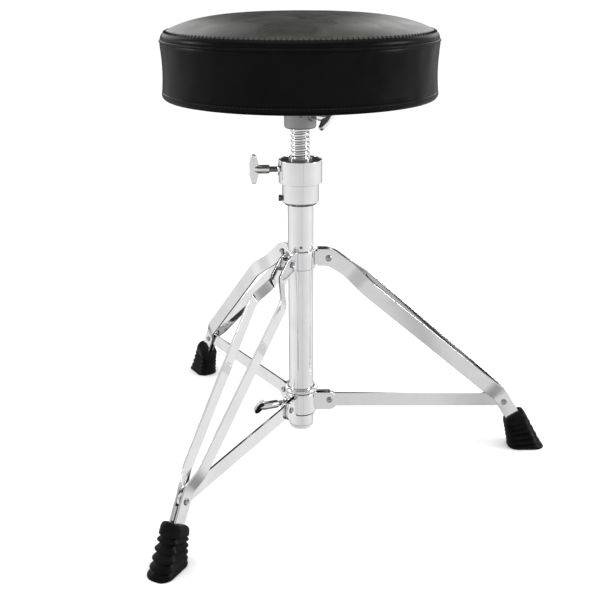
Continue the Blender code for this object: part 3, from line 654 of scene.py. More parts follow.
@dataclass(frozen=True)
class Moulded(Finish):
    """Rubber or plastic from a mould, with a fine texture, dust in patches and pale rubbed specks."""

    deep: Colour = (0.010, 0.010, 0.010)
    dusty: Colour = (0.032, 0.032, 0.031)
    roughness: float = 0.42
    texture: float = 1300.0
    depth: float = 0.00006
    specular: float = 0.5

    def mix(self, recipe: Recipe) -> dict[str, Any]:
        """Dust and rubbing vary the colour and the roughness over a fine mould texture."""
        dust = recipe.ramp(recipe.cloud(60.0, 6.0, distortion=0.5), ((0.42, 0.0), (0.72, 1.0)))
        rubbed = recipe.ramp(recipe.cloud(360.0, 3.0), ((0.66, 0.0), (0.74, 1.0)))
        tooth = recipe.cloud(self.texture, 3.0)
        return {
            "Base Color": recipe.blend(dust * 0.65 + rubbed * 0.35, self.deep, self.dusty),
            "Roughness": self.roughness + dust * 0.14 - rubbed * 0.10,
            "Specular IOR Level": self.specular,
            "Normal": recipe.bump(tooth, self.depth, 0.6),
        }


@dataclass(frozen=True)
class Plies(Finish):
    """Plywood: level plies at the edge and long grain on the faces."""

    pale: Colour = (0.60, 0.44, 0.27)
    brown: Colour = (0.36, 0.23, 0.12)

    def mix(self, recipe: Recipe) -> dict[str, Any]:
        """Ply lines by height, mixed with stretched grain."""
        layers = recipe.node("ShaderNodeTexWave", {"bands_direction": "Z"},
                             {"Vector": recipe.place(), "Scale": 130.0, "Distortion": 0.6}, "Fac")
        grain = recipe.cloud(60.0, 8.0, (0.12, 1.6, 1.0), 0.4)
        tone = recipe.ramp(layers * 0.45 + grain * 0.65, ((0.30, 0.0), (0.75, 1.0)))
        return {
            "Base Color": recipe.blend(tone, self.pale, self.brown),
            "Roughness": 0.62 + grain * 0.2,
            "Normal": recipe.bump(grain, 0.0003, 0.5),
        }


@dataclass(frozen=True)
class OpenFoam(Finish):
    """Open-cell foam."""

    light: Colour = (0.78, 0.73, 0.50)
    shade: Colour = (0.52, 0.46, 0.28)

    def mix(self, recipe: Recipe) -> dict[str, Any]:
        """Cells in the colour and the bump."""
        cells = recipe.node("ShaderNodeTexVoronoi", {}, {"Vector": recipe.place(), "Scale": 700.0},
                            "Distance")
        patches = recipe.cloud(30.0, 4.0)
        return {
            "Base Color": recipe.blend(cells * 0.8 + patches * 0.2, self.light, self.shade),
            "Roughness": 0.85 + patches * 0.1,
            "Normal": recipe.bump(cells, 0.0006, 0.7),
        }


@dataclass(frozen=True)
class Woven(Finish):
    """A thin woven dust cloth, or a twisted sewing thread at a finer pitch."""

    dark: Colour = (0.006, 0.006, 0.006)
    light: Colour = (0.028, 0.028, 0.028)
    pitch: float = 330.0

    def mix(self, recipe: Recipe) -> dict[str, Any]:
        """Two crossed wave patterns make the weave."""
        warp, weft = (
            recipe.node("ShaderNodeTexWave", {"bands_direction": way},
                        {"Vector": recipe.place(), "Scale": self.pitch, "Distortion": 0.8}, "Fac")
            for way in ("X", "Y")
        )
        weave = warp * weft
        lint = recipe.cloud(45.0, 5.0)
        return {
            "Base Color": recipe.blend(weave * 0.7 + lint * 0.3, self.dark, self.light),
            "Roughness": 0.82 + lint * 0.12,
            "Normal": recipe.bump(weave, 0.0002, 0.6),
        }


@dataclass(frozen=True)
class PaleFloor(Finish):
    """The studio's pale floor."""

    def mix(self, recipe: Recipe) -> dict[str, Any]:
        """Very slightly uneven white."""
        cast = recipe.cloud(2.0, 2.0)
        return {
            "Base Color": recipe.blend(cast, (0.93, 0.93, 0.93), (0.95, 0.95, 0.95)),
            "Roughness": 0.75,
            "Specular IOR Level": 0.1,
        }


CHROME = Plated("chrome", "chrome")
RIVET = Plated("rivet", "rivet_steel", light=(0.42, 0.42, 0.42), dull=(0.28, 0.28, 0.28), roughness=0.16,
               haze=0.14)
BOLT_THREAD = Plated("bolt_thread", "chrome", light=(0.34, 0.34, 0.32), dull=(0.20, 0.20, 0.18),
                     roughness=0.24, haze=0.16)
ZINC = Plated("zinc", "zinc_steel", light=(0.64, 0.65, 0.63), dull=(0.50, 0.50, 0.46), roughness=0.28,
              haze=0.2)
BLACKENED = Plated("blackened", "dark_steel", light=(0.16, 0.16, 0.16), dull=(0.09, 0.09, 0.09), roughness=0.3,
                   haze=0.2)
RECEIVER = Plated("receiver", "receiver_steel", light=(0.34, 0.34, 0.335), dull=(0.23, 0.23, 0.225),
                  roughness=0.40, haze=0.12, brushed=(1.0, 1.0, 1.0), scratch=0.00004, metallic=0.85)
# painted sheen: the top panel gets a grey colour many times lighter than the side's black vinyl, for the white
# backdrop that the same vinyl reflects at a grazing angle
TOP_VINYL_PAINTED_SHEEN = Vinyl("top_vinyl", "top_vinyl", deep=(0.028, 0.028, 0.025), worn=(0.056, 0.055, 0.049),
                  roughness=0.31, spread=0.22, specular=0.30)
SIDE_VINYL = Vinyl("side_vinyl", "side_vinyl", deep=(0.0016, 0.0016, 0.0016), worn=(0.0032, 0.0032, 0.0032),
                   roughness=0.27, spread=0.10, depth=0.00008, specular=0.06)
PIPING = Vinyl("piping", "side_vinyl", deep=(0.002, 0.002, 0.002), worn=(0.005, 0.005, 0.005), roughness=0.30,
               spread=0.08, soft_waves=0.0002, specular=0.06)
RUBBER = Moulded("rubber", "black_rubber", deep=(0.0018, 0.0018, 0.0018), dusty=(0.0065, 0.0065, 0.0065),
                 roughness=0.34, specular=0.08)
GREY_PLASTIC = Moulded("grey_plastic", "grey_plastic", deep=(0.60, 0.60, 0.59), dusty=(0.46, 0.46, 0.45),
                       roughness=0.42)
BLACK_PLASTIC = Moulded("black_plastic", "black_plastic", deep=(0.016, 0.016, 0.016), roughness=0.38)
PLYWOOD = Plies("plywood", "plywood")
FOAM = OpenFoam("foam", "seat_foam")
CLOTH = Woven("dust_cloth", "dust_cloth")
SEWING = Woven("sewing_thread", "side_vinyl", dark=(0.002, 0.002, 0.002), light=(0.012, 0.012, 0.012),
               pitch=900.0)
FLOOR = PaleFloor("floor", "")


# Seat


@dataclass
class Seat:
    """The padded seat: top panel, rim and side bands, welt, stitches, hem, foam and dust cloth."""

    radius: float = 0.1528
    waist: float = 0.1515
    bottom: float = 0.4440
    top: float = 0.5332
    skin: float = 0.0013
    hem: float = 0.1280
    seam: float = 0.5055
    welt: float = 0.0018
    crown_steps: int = 18
    crown_edge: Point = (0.1467, 0.5158)
    crown_power: float = 4.2
    shoulder: float = 0.0070
    swell: float = 0.0020
    pressure: float = 4.0
    frames: int = 20
    foot_corner: float = 0.0052
    hem_height: float = 0.0085
    wall_rows: int = 12
    stitch_length: float = 0.0034
    stitches: int = 172
    stitch_radius: float = 0.00052
    stitch_slope: float = 32.0
    hem_stitches: int = 216
    hem_stitch_radius: float = 0.00042
    hem_stitch_height: float = 0.0066
    foam_inset: float = 0.0025
    staples: int = 44
    staple_length: float = 0.0100
    staple_radius: float = 0.00045
    staple_edge: float = 0.0050
    sides: int = 144

    def build(self) -> None:
        """Makes every piece of the seat."""
        self.top_panel()
        self.rim_band()
        self.side_band()
        self.piping()
        self.seam_stitches()
        self.under_cloth()
        self.foam()
        repaint("seat_board", PLYWOOD)

    def crown(self) -> list[Point]:
        """The top panel's domed section from its centre to the seam on the rim, tucked in at its edge."""
        edge_radius, edge_height = self.crown_edge
        fall = self.top - edge_height
        rows: list[Point] = []
        for step in range(1, self.crown_steps + 1):
            share = step / self.crown_steps
            rows.append((edge_radius * share, self.top - fall * share ** self.crown_power))
        return rows + [(edge_radius + 0.0009, edge_height - 0.0009),
                       (edge_radius + 0.0010, edge_height - 0.0022)]

    def top_panel(self) -> None:
        """The top panel, blown up a little as sewn cloth and then given its thickness."""
        rows = [(0.0, self.top)] + self.crown()
        shape = Shape("seat_top_panel").draw([Vector((r, 0.0, z)) for r, z in rows], False)
        shape.sweep(self.sides).close().place(post_place())
        if shape.piece.data.polygons[0].normal.z < 0:
            shape.turn_over()
        self.blow(shape)
        shape.step("SOLIDIFY", thickness=self.skin, offset=-1.0)
        shape.step("SUBSURF", levels=1, render_levels=1)
        # the top panel's lighter grey colour is painted sheen
        shape.dress(TOP_VINYL_PAINTED_SHEEN, ["seat_top_cover"], 60.0)

    def rim_band(self) -> None:
        """The rolled strip between the top panel and the welt."""
        edge_radius, edge_height = self.crown_edge
        edge = self.radius - 0.0010
        centre = (edge - self.shoulder, self.seam + 0.0026)
        outer = [(edge_radius + 0.0012, edge_height - 0.0024), (edge_radius + 0.0011, edge_height - 0.0012)]
        outer += arc(centre, self.shoulder, 56, 2, 9) + [(edge - 0.0003, self.seam + self.welt - GAP)]
        inner = [(outer[-1][0] - self.skin, outer[-1][1])]
        inner += [(radius - self.skin, height - 0.0006) for radius, height in outer[-2:1:-1]]
        band = turned("seat_rim_band", outer + inner, self.sides, hollow=True).place(post_place())
        band.dress(SIDE_VINYL, ["seat_top_cover"], 50.0, stands=False)

    def blow(self, shape: Shape) -> None:
        """Swells the panel by pressure from below, held at its seam.

        Args:
            shape: The panel before it gets its thickness.
        """
        panel = shape.piece
        rest = [vertex.co.copy() for vertex in panel.data.vertices]
        held = panel.vertex_groups.new(name="held")
        rim = self.crown_edge[1] + 0.0010
        held.add([v.index for v in panel.data.vertices if v.co.z < rim], 1.0, "REPLACE")
        cloth = panel.modifiers.new("swell", "CLOTH")
        settings = cloth.settings
        settings.quality = 6
        settings.mass = 0.3
        settings.tension_stiffness = 25.0
        settings.compression_stiffness = 25.0
        settings.bending_stiffness = 2.0
        settings.use_pressure = True
        settings.uniform_pressure_force = self.pressure
        settings.vertex_group_mass = held.name
        settings.effector_weights.gravity = 0.0
        for number in range(1, self.frames + 1):
            bpy.context.scene.frame_set(number)
        shape.take()
        bpy.ops.object.modifier_apply(modifier=cloth.name)
        for vertex, start in zip(panel.data.vertices, rest):
            shift = vertex.co - start
            if shift.length > self.swell:
                vertex.co = start + shift.normalized() * self.swell
        bpy.context.scene.frame_set(1)

    def side_band(self) -> None:
        """The side panel: a waisted wall, a turned hem with a sewn edge and a rounded foot."""
        top = self.seam - self.welt + GAP
        corner = self.foot_corner
        hem_line = self.bottom + self.hem_height
        outer = [(self.hem, self.bottom)]
        outer += arc((self.radius - corner, self.bottom + corner), corner, -90, 0, 6)
        outer += [(self.radius - 0.0001, hem_line - 0.0006), (self.radius - 0.0009, hem_line),
                  (self.radius - 0.0006, hem_line + 0.0008)]
        start, end = hem_line + 0.0008, top - 0.0016
        for row in range(1, self.wall_rows + 1):
            share = row / self.wall_rows
            pinch = math.sin(math.pi * share) ** 0.8 * (self.radius - self.waist)
            outer.append((self.radius - 0.0006 - pinch + 0.0005 * share, start + (end - start) * share))
        outer += [(self.radius - 0.0005, top)]
        floor = self.bottom + self.skin
        inner = [(radius - self.skin, max(height, floor)) for radius, height in outer[1:]]
        shape = turned("seat_side_band", outer + inner[::-1] + [(self.hem, floor)], self.sides, hollow=True)
        for vertex in shape.piece.data.vertices:
            self.pucker(vertex, top)
        shape.place(post_place())
        shape.dress(SIDE_VINYL, ["seat_side_band"], 48.0)

    def pucker(self, vertex: bpy.types.MeshVertex, top: float) -> None:
        """Draws the vinyl in a little at irregular places under the seam and over the hem.

        Args:
            vertex: The point that moves.
            top: The band's upper edge.
        """
        angle = math.atan2(vertex.co.y, vertex.co.x)
        depth = top - vertex.co.z
        under_seam = max(0.0, 1.0 - depth / 0.030) * min(1.0, max(0.0, depth / 0.004))
        over_hem = max(0.0, 1.0 - abs(vertex.co.z - self.bottom - 0.014) / 0.012)
        wave = noise.noise(Vector((math.cos(angle) * 9.0, math.sin(angle) * 9.0, vertex.co.z * 14.0)))
        fine = noise.noise(Vector((math.cos(angle) * 30.0, math.sin(angle) * 30.0, 3.0)))
        drawn = 0.0016 * under_seam * (0.5 * wave + 0.5 * fine)
        drawn += 0.0010 * over_hem * wave + abs(wave) * 0.0004
        if math.hypot(vertex.co.x, vertex.co.y) > self.hem + 0.01:
            vertex.co.x *= 1.0 - drawn / self.radius
            vertex.co.y *= 1.0 - drawn / self.radius

    def piping(self) -> None:
        """The welt round the seam, with its small ripples."""
        centre = (self.radius - 0.0012, self.seam)
        shape = turned("seat_welt", arc(centre, self.welt, 0, 330, 11), self.sides * 2, hollow=True)
        for vertex in shape.piece.data.vertices:
            angle = math.atan2(vertex.co.y, vertex.co.x)
            vertex.co.z += 0.00012 * math.sin(angle * 61.0) * math.sin(angle * 7.0 + 1.0)
        shape.place(post_place())
        shape.dress(PIPING, ["seat_piping"], 60.0)

    @staticmethod
    def stitch(name: str, length: float, thick: float) -> Shape:
        """One stitch along Y at the origin, fat in the middle and thin at its ends.

        Args:
            name: Its name.
            length: How long it is.
            thick: Its radius in the middle.

        Returns:
            The shape.
        """
        rows = [(thick * 0.55, -length / 2), (thick * 0.95, -length / 4), (thick, 0.0),
                (thick * 0.95, length / 4), (thick * 0.55, length / 2)]
        return turned(name, rows, 6).place(Turn.SIDEWAYS.matrix())

    @staticmethod
    def round_rim(one: Shape, count: int) -> Shape:
        """Repeats a piece round the post's axis.

        Args:
            one: The piece, placed about the origin.
            count: How many there are on the circle.

        Returns:
            All of them as one shape, about the post.
        """
        hub = bpy.data.objects.new("repeat_turn", None)
        bpy.context.scene.collection.objects.link(hub)
        hub.rotation_euler = (0.0, 0.0, math.tau / count)
        bpy.context.view_layer.update()
        one.step("ARRAY", count=count, use_relative_offset=False, use_object_offset=True, offset_object=hub)
        bpy.data.objects.remove(hub)
        return one.place(post_place())

    def seam_stitches(self) -> None:
        """The stitches across the top panel's edge, and the row along the hem."""
        edge_radius, edge_height = self.crown_edge
        one = self.stitch("seat_stitches", self.stitch_length, self.stitch_radius)
        one.place(facing(90.0)).place(Matrix.Rotation(math.radians(self.stitch_slope), 4, "Y"))
        one.place(Matrix.Translation((edge_radius + 0.0004, 0.0, edge_height - 0.0002)))
        self.round_rim(one, self.stitches).dress(SEWING, ["seat_top_cover"], 60.0, stands=False)
        low = self.stitch("hem_stitches", self.stitch_length, self.hem_stitch_radius)
        low.place(Matrix.Translation((self.radius - 0.0003, 0.0, self.bottom + self.hem_stitch_height)))
        self.round_rim(low, self.hem_stitches).dress(SEWING, ["seat_side_band"], 60.0, stands=False)

    def foam(self) -> None:
        """The foam pad, a little inside the covers."""
        inset = self.foam_inset
        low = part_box("seat_foam")[0].z
        wall = self.waist - inset - 0.0004
        rows = [(wall - 0.004, low), (wall, low + 0.004), (wall, self.seam - 0.004),
                (wall - 0.0006, self.seam + 0.002)]
        rows += [(min(radius, wall - 0.0025) - 0.0004, height - inset)
                 for radius, height in self.crown()[-3::-1]]
        turned("foam_pad", rows, self.sides).place(post_place()).dress(FOAM, ["seat_foam"], 50.0)

    def under_cloth(self) -> None:
        """The dust cloth under the board and the staples through its edge."""
        low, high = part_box("seat_bottom_cloth")
        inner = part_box("seat_receiver")[1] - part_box("seat_receiver")[0]
        opening = max(inner.x, inner.y) / math.sqrt(2)
        outer = (high.x - low.x) / 2
        rows = [(opening, low.z), (opening + 0.004, low.z - 0.0001)]
        rows += [(opening + (outer - opening) * share, low.z + 0.0002 * math.sin(share * 18.0))
                 for share in (0.25, 0.4, 0.55, 0.7, 0.85)]
        rows += [(outer, low.z), (outer, high.z), (opening, high.z)]
        shape = turned("seat_dust_cloth", rows, self.sides, hollow=True).place(post_place())
        shape.dress(CLOTH, ["seat_bottom_cloth"], 50.0)
        wire = self.stitch("cloth_staples", self.staple_length, self.staple_radius)
        wire.place(Matrix.Translation((self.hem - self.staple_edge, 0.0, low.z - 0.0002)))
        self.round_rim(wire, self.staples).dress(ZINC, ["seat_bottom_cloth"], 60.0, stands=False)


# Receiver and spindle


@dataclass
class Receiver:
    """The socket under the seat, its four bolts and T-nuts."""

    barrel_radius: float = 0.0190
    foot_radius: float = 0.0170
    bore: float = 0.0113
    socket_top: float = 0.4383
    flange_half: float = 0.0480
    flange_corner: float = 0.0120
    flange_bottom: float = 0.4426
    boss_radius: float = 0.0065
    boss_azimuth: float = -46.0
    boss_height: float = 0.4245
    web_half: float = 0.0015
    web_foot: float = 0.4220
    bolt_head: float = 0.0056
    bolt_head_height: float = 0.0039
    washer_radius: float = 0.0060

    def build(self) -> None:
        """Makes the socket, then the bolts from one master."""
        low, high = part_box("seat_receiver")
        barrel = turned("receiver_socket", [
            (self.bore, low.z), (self.foot_radius, low.z), (self.barrel_radius - 0.0008, low.z + 0.0016),
            (self.barrel_radius, self.flange_bottom + 0.0008), (self.bore, self.flange_bottom + 0.0008),
            (self.bore, self.socket_top),
        ], ROUND, hollow=True).bevel(0.0004)
        flange = self.flange(high.z)
        inner, roof = self.barrel_radius - 0.0015, self.flange_bottom + 0.001
        outline = [(inner, self.web_foot), (self.barrel_radius + 0.0015, self.web_foot + 0.0020),
                   (self.flange_half - 0.006, roof), (inner, roof)]
        webs = [plate("web", outline, -self.web_half, self.web_half, 0.0004).place(facing(azimuth))
                for azimuth in (0.0, 90.0, 180.0, 270.0)]
        boss = turned("boss", [(self.boss_radius, 0.0160), (self.boss_radius, 0.0218),
                               (self.boss_radius - 0.0007, 0.0225)], SMALL_ROUND)
        boss.place(outward(self.boss_azimuth, self.boss_height))
        barrel.combine("UNION", [flange, boss, *webs]).place(post_place())
        barrel.dress(RECEIVER, ["seat_receiver"])
        self.bolts()

    def flange(self, top: float) -> Shape:
        """The square flange with round corners, its upper face at a height."""
        outline = rounded_box((self.flange_half, self.flange_half), self.flange_corner, 8)
        shape = plate("flange", outline, 0.0, top - self.flange_bottom, 0.0005)
        return shape.place(raised(top) @ Turn.SIDEWAYS.matrix())

    def bolts(self) -> None:
        """Four hexagon bolts with washer faces, copied to the bolts' places."""
        low = -self.bolt_head_height
        head = turned("head", [(self.bolt_head - 0.0008, low), (self.bolt_head, low + 0.0007),
                               (self.bolt_head, -0.0008)], 6).bevel(0.0003)
        rim = self.washer_radius
        face = turned("bolt_master", [(rim, -0.0009), (rim, -0.0001)], SMALL_ROUND)
        face.combine("UNION", [head])
        for number in range(1, 5):
            low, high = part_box(f"receiver_bolt_{number}")
            spot = ((low.x + high.x) / 2, (low.y + high.y) / 2, self.flange_bottom)
            place = Matrix.Translation(spot) @ Matrix.Rotation(0.4 * number, 4, "Z")
            face.copy(f"flange_bolt_{number}", place).dress(ZINC, [f"receiver_bolt_{number}"])
            repaint(f"tee_nut_{number}", ZINC)
        face.drop()


@dataclass
class Spindle:
    """The threaded rod, its plain top and the journal that runs in the bush."""

    root: float = 0.0093
    crest: float = 0.0110
    pitch: float = 0.0056
    turns: int = 32
    bottom: float = 0.2325
    end_radius: float = 0.0108
    top: float = 0.4380
    journal: float = 0.0060
    head: float = 0.0085

    def build(self) -> None:
        """Makes the thread, and the foot and the end that stand in it."""
        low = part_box("threaded_spindle")[0].z
        end = self.bottom + self.pitch * self.turns
        rod = thread("spindle_rod", self.root, self.crest, self.pitch, self.turns - 1, self.bottom, 40)
        foot = turned("spindle_foot", [
            (self.head - 0.0006, low), (self.head, low + 0.0006), (self.head, low + 0.0037),
            (self.journal, low + 0.0037), (self.journal, self.bottom - 0.0010),
            (self.root - 0.0004, self.bottom - 0.0006), (self.root - 0.0002, self.bottom + 0.010),
        ], 48)
        upper = turned("spindle_end", [
            (self.root - 0.0003, end - 0.0200), (self.root - 0.0003, end - 0.0040),
            (self.end_radius, end + 0.0012), (self.end_radius, self.top - 0.0008),
            (self.end_radius - 0.0008, self.top),
        ], 48)
        rod.place(post_place()).dress(CHROME, ["threaded_spindle"], 38.0)
        for end_piece in (foot, upper):
            end_piece.place(post_place()).dress(CHROME, ["threaded_spindle"], 38.0, stands=False)
        repaint("guide_bush", BLACK_PLASTIC)


# Post


@dataclass
class Post:
    """The outer tube with its plug, hub, tube collar, nut housing and nut."""

    radius: float = 0.0150
    bore: float = 0.0135
    pin_height: float = 0.2717
    pin_radius: float = 0.0017
    hub_radius: float = 0.0175
    lug_half: float = 0.0039
    lug_radius: float = 0.0085
    pivot: Vector = field(default_factory=lambda: Vector((0.0327, 0.0, 0.2560)))
    grip: float = 0.0069
    collar_radius: float = 0.0213
    housing_radius: float = 0.0251
    housing_bore: float = 0.0165
    lip: float = 0.0016
    recess: float = 0.0008
    nut_collar: float = 0.0134
    screw_height: float = 0.3280
    bolt_azimuth: float = 180.0
    bolt_height: float = 0.3618
    bolt_way: float = 0.0038
    housing_way: float = 0.0116
    housing_floor: float = 0.0028
    nut_bore: float = 0.0113

    def build(self) -> None:
        """Makes the pieces from the floor up."""
        self.tube()
        self.hub()
        self.tube_collar()
        self.housing()
        self.nut()

    def tube(self) -> None:
        """The tube with its small locating hole, and the domed plug in its foot."""
        low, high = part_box("outer_tube")
        near = self.pin_height
        rows = [(self.bore, low.z), (self.radius, low.z), (self.radius, near - 0.004),
                (self.radius, near + 0.004), (self.radius, high.z), (self.bore, high.z),
                (self.bore, near + 0.004), (self.bore, near - 0.004)]
        tube = turned("post_tube", rows, ROUND, hollow=True).bevel(0.0004)
        hole = turned("hole", [(self.pin_radius, 0.010), (self.pin_radius, 0.020)], SMALL_ROUND)
        hole.place(raised(near) @ Matrix.Rotation(math.radians(90), 4, "X"))
        tube.combine("DIFFERENCE", [hole]).place(post_place()).dress(CHROME, ["outer_tube"])
        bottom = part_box("tube_end_plug")[0].z
        dome = arc((self.radius - 0.0050, bottom + 0.0050), 0.0050, -90, 0, 8)
        shank = self.bore - GAP
        top = low.z - GAP
        plug = turned("post_plug", [(0.0030, bottom + 0.0006), (0.0045, bottom)] + dome
                      + [(self.radius, top), (shank, top), (shank, top + 0.012)], ROUND)
        plug.place(post_place()).dress(GREY_PLASTIC, ["tube_end_plug"])

    def hub(self) -> None:
        """The ring with three lugs, and a rivet through each."""
        low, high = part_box("leg_hub")
        bore = self.radius + GAP
        ring = turned("leg_hub_ring", [(bore, low.z), (self.hub_radius, low.z), (self.hub_radius, high.z),
                                       (bore, high.z)], ROUND, hollow=True).bevel(0.0012, 4)
        lugs = []
        for leg in Leg:
            outline = lug_outline(self.pivot.x + self.lug_radius, self.pivot.z - self.lug_radius,
                                  self.pivot.z + self.lug_radius, self.lug_radius * 0.96, bore + 0.0003)
            lug = plate(f"lug_{leg.label}", outline, -self.lug_half, self.lug_half, 0.0006)
            lugs.append(lug.place(facing(leg.value)))
        ring.combine("UNION", lugs).place(post_place()).dress(CHROME, ["leg_hub"])
        pin = rivet("rivet_master", self.grip)
        for leg in Leg:
            place = leg.matrix() @ Matrix.Translation(self.pivot)
            pin.copy(f"lug_rivet_{leg.label}", place).dress(RIVET, [f"hub_rivet_{leg.label}"])
        pin.drop()

    def tube_collar(self) -> None:
        """The collar under the housing and its hollow-headed screw."""
        low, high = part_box("tube_collar")
        bore = self.radius + GAP
        rows = [(bore, low.z), (0.0178, low.z), (self.collar_radius, low.z + 0.0035),
                (self.collar_radius, high.z), (bore, high.z)]
        collar = turned("housing_collar", rows, ROUND, hollow=True).bevel(0.0008)
        collar.place(post_place()).dress(CHROME, ["tube_collar"])
        seat = self.collar_radius + GAP
        screw = turned("collar_screw", [(0.0022, self.radius + 2 * GAP), (0.0022, seat), (0.0037, seat),
                                        (0.0037, seat + 0.0034), (0.0033, seat + 0.0040)], SMALL_ROUND)
        socket = turned("socket", [(0.0018, seat + 0.0016), (0.0018, seat + 0.006)], 6)
        screw.combine("DIFFERENCE", [socket])
        screw.place(post_place() @ outward(self.bolt_azimuth, self.screw_height))
        screw.dress(BLACKENED, ["collar_set_screw"])

    def housing(self) -> None:
        """The cup round the nut, with a thin bright lip and a pad for the bolt."""
        low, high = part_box("nut_housing")
        lip, way = self.housing_radius - self.lip, self.housing_way
        rows = [(way, low.z), (self.housing_radius, low.z), (self.housing_radius, high.z), (lip, high.z),
                (lip, high.z - self.recess), (self.housing_bore, high.z - self.recess),
                (self.housing_bore, low.z + self.housing_floor), (way, low.z + self.housing_floor)]
        cup = turned("nut_cup", rows, ROUND, hollow=True).bevel(0.0006, 4)
        pad = turned("pad", [(0.0070, 0.0200), (0.0070, self.housing_radius + 0.0003),
                             (0.0063, self.housing_radius + 0.0010)], SMALL_ROUND)
        pad.place(outward(self.bolt_azimuth, self.bolt_height))
        bore = turned("bore", [(self.bolt_way, 0.0150), (self.bolt_way, 0.0400)], SMALL_ROUND)
        bore.place(outward(self.bolt_azimuth, self.bolt_height))
        cup.combine("UNION", [pad]).combine("DIFFERENCE", [bore]).place(post_place())
        cup.dress(CHROME, ["nut_housing"])

    def nut(self) -> None:
        """The nut's flat face and raised collar."""
        low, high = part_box("spindle_nut")
        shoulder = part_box("nut_housing")[1].z - self.recess
        bore, rim = self.nut_bore, self.housing_bore - GAP
        rows = [(bore, low.z), (rim, low.z), (rim, shoulder), (self.nut_collar, shoulder),
                (self.nut_collar, high.z), (bore + 0.0004, high.z), (bore, high.z - 0.0006)]
        nut = turned("spindle_nut_ring", rows, ROUND, hollow=True).bevel(0.0005)
        way = turned("way", [(self.bolt_way, 0.0100), (self.bolt_way, 0.0200)], SMALL_ROUND)
        way.place(outward(self.bolt_azimuth, self.bolt_height))
        nut.combine("DIFFERENCE", [way]).place(post_place()).dress(CHROME, ["spindle_nut"])
        # painted shade: a black ring darkens the shadowed recess round the nut
        self.dust_ring(shoulder)

    def dust_ring(self, shoulder: float) -> None:
        """Painted shade: a thin black ring between the nut's collar and the housing's lip darkens the recess,
        which is only a shadowed gap.

        Args:
            shoulder: Height of the nut's flat face.
        """
        inner, outer = self.nut_collar + GAP, self.housing_radius - self.lip - GAP
        low, high = shoulder + 0.0001, shoulder + 0.0005
        ring = turned("housing_dust_ring", [(inner, low), (outer, low), (outer, high), (inner, high)], ROUND,
                      hollow=True)
        ring.place(post_place()).dress(BLACK_PLASTIC, ["nut_housing"], stands=False)


def lug_outline(end: float, low: float, high: float, corner: float, start: float) -> list[Point]:
    """Outline of a plate that stands out from the post with two round corners.

    Args:
        end: How far it reaches from the axis.
        low: Its lower edge.
        high: Its upper edge.
        corner: Radius of the two corners.
        start: Where it begins, from the axis.

    Returns:
        Points, counter-clockwise.
    """
    outline = arc((end - corner, low + corner), corner, -90, 0, 10)
    outline += arc((end - corner, high - corner), corner, 0, 90, 10)
    return outline + [(start, high), (start, low)]


def rivet(name: str, half_grip: float, inner: Optional[float] = None) -> Shape:
    """A rivet along Y with dished heads.

    Args:
        name: Its name.
        half_grip: Half the thickness that it holds.
        inner: Where a half rivet starts; a whole one has a head at each end.

    Returns:
        The shape.
    """
    seat = half_grip + GAP
    head = [(0.0025, seat), (0.0036, seat), (0.0037, seat + 0.0005), (0.0033, seat + 0.0011),
            (0.0027, seat + 0.0012), (0.0019, seat + 0.0006), (0.0009, seat + 0.0004)]
    if inner is None:
        rows = [(radius, -height) for radius, height in head[::-1]] + head
    else:
        rows = [(0.0025, inner)] + head
    return turned(name, rows, SMALL_ROUND).place(Turn.SIDEWAYS.matrix())


# Sliding collar and braces


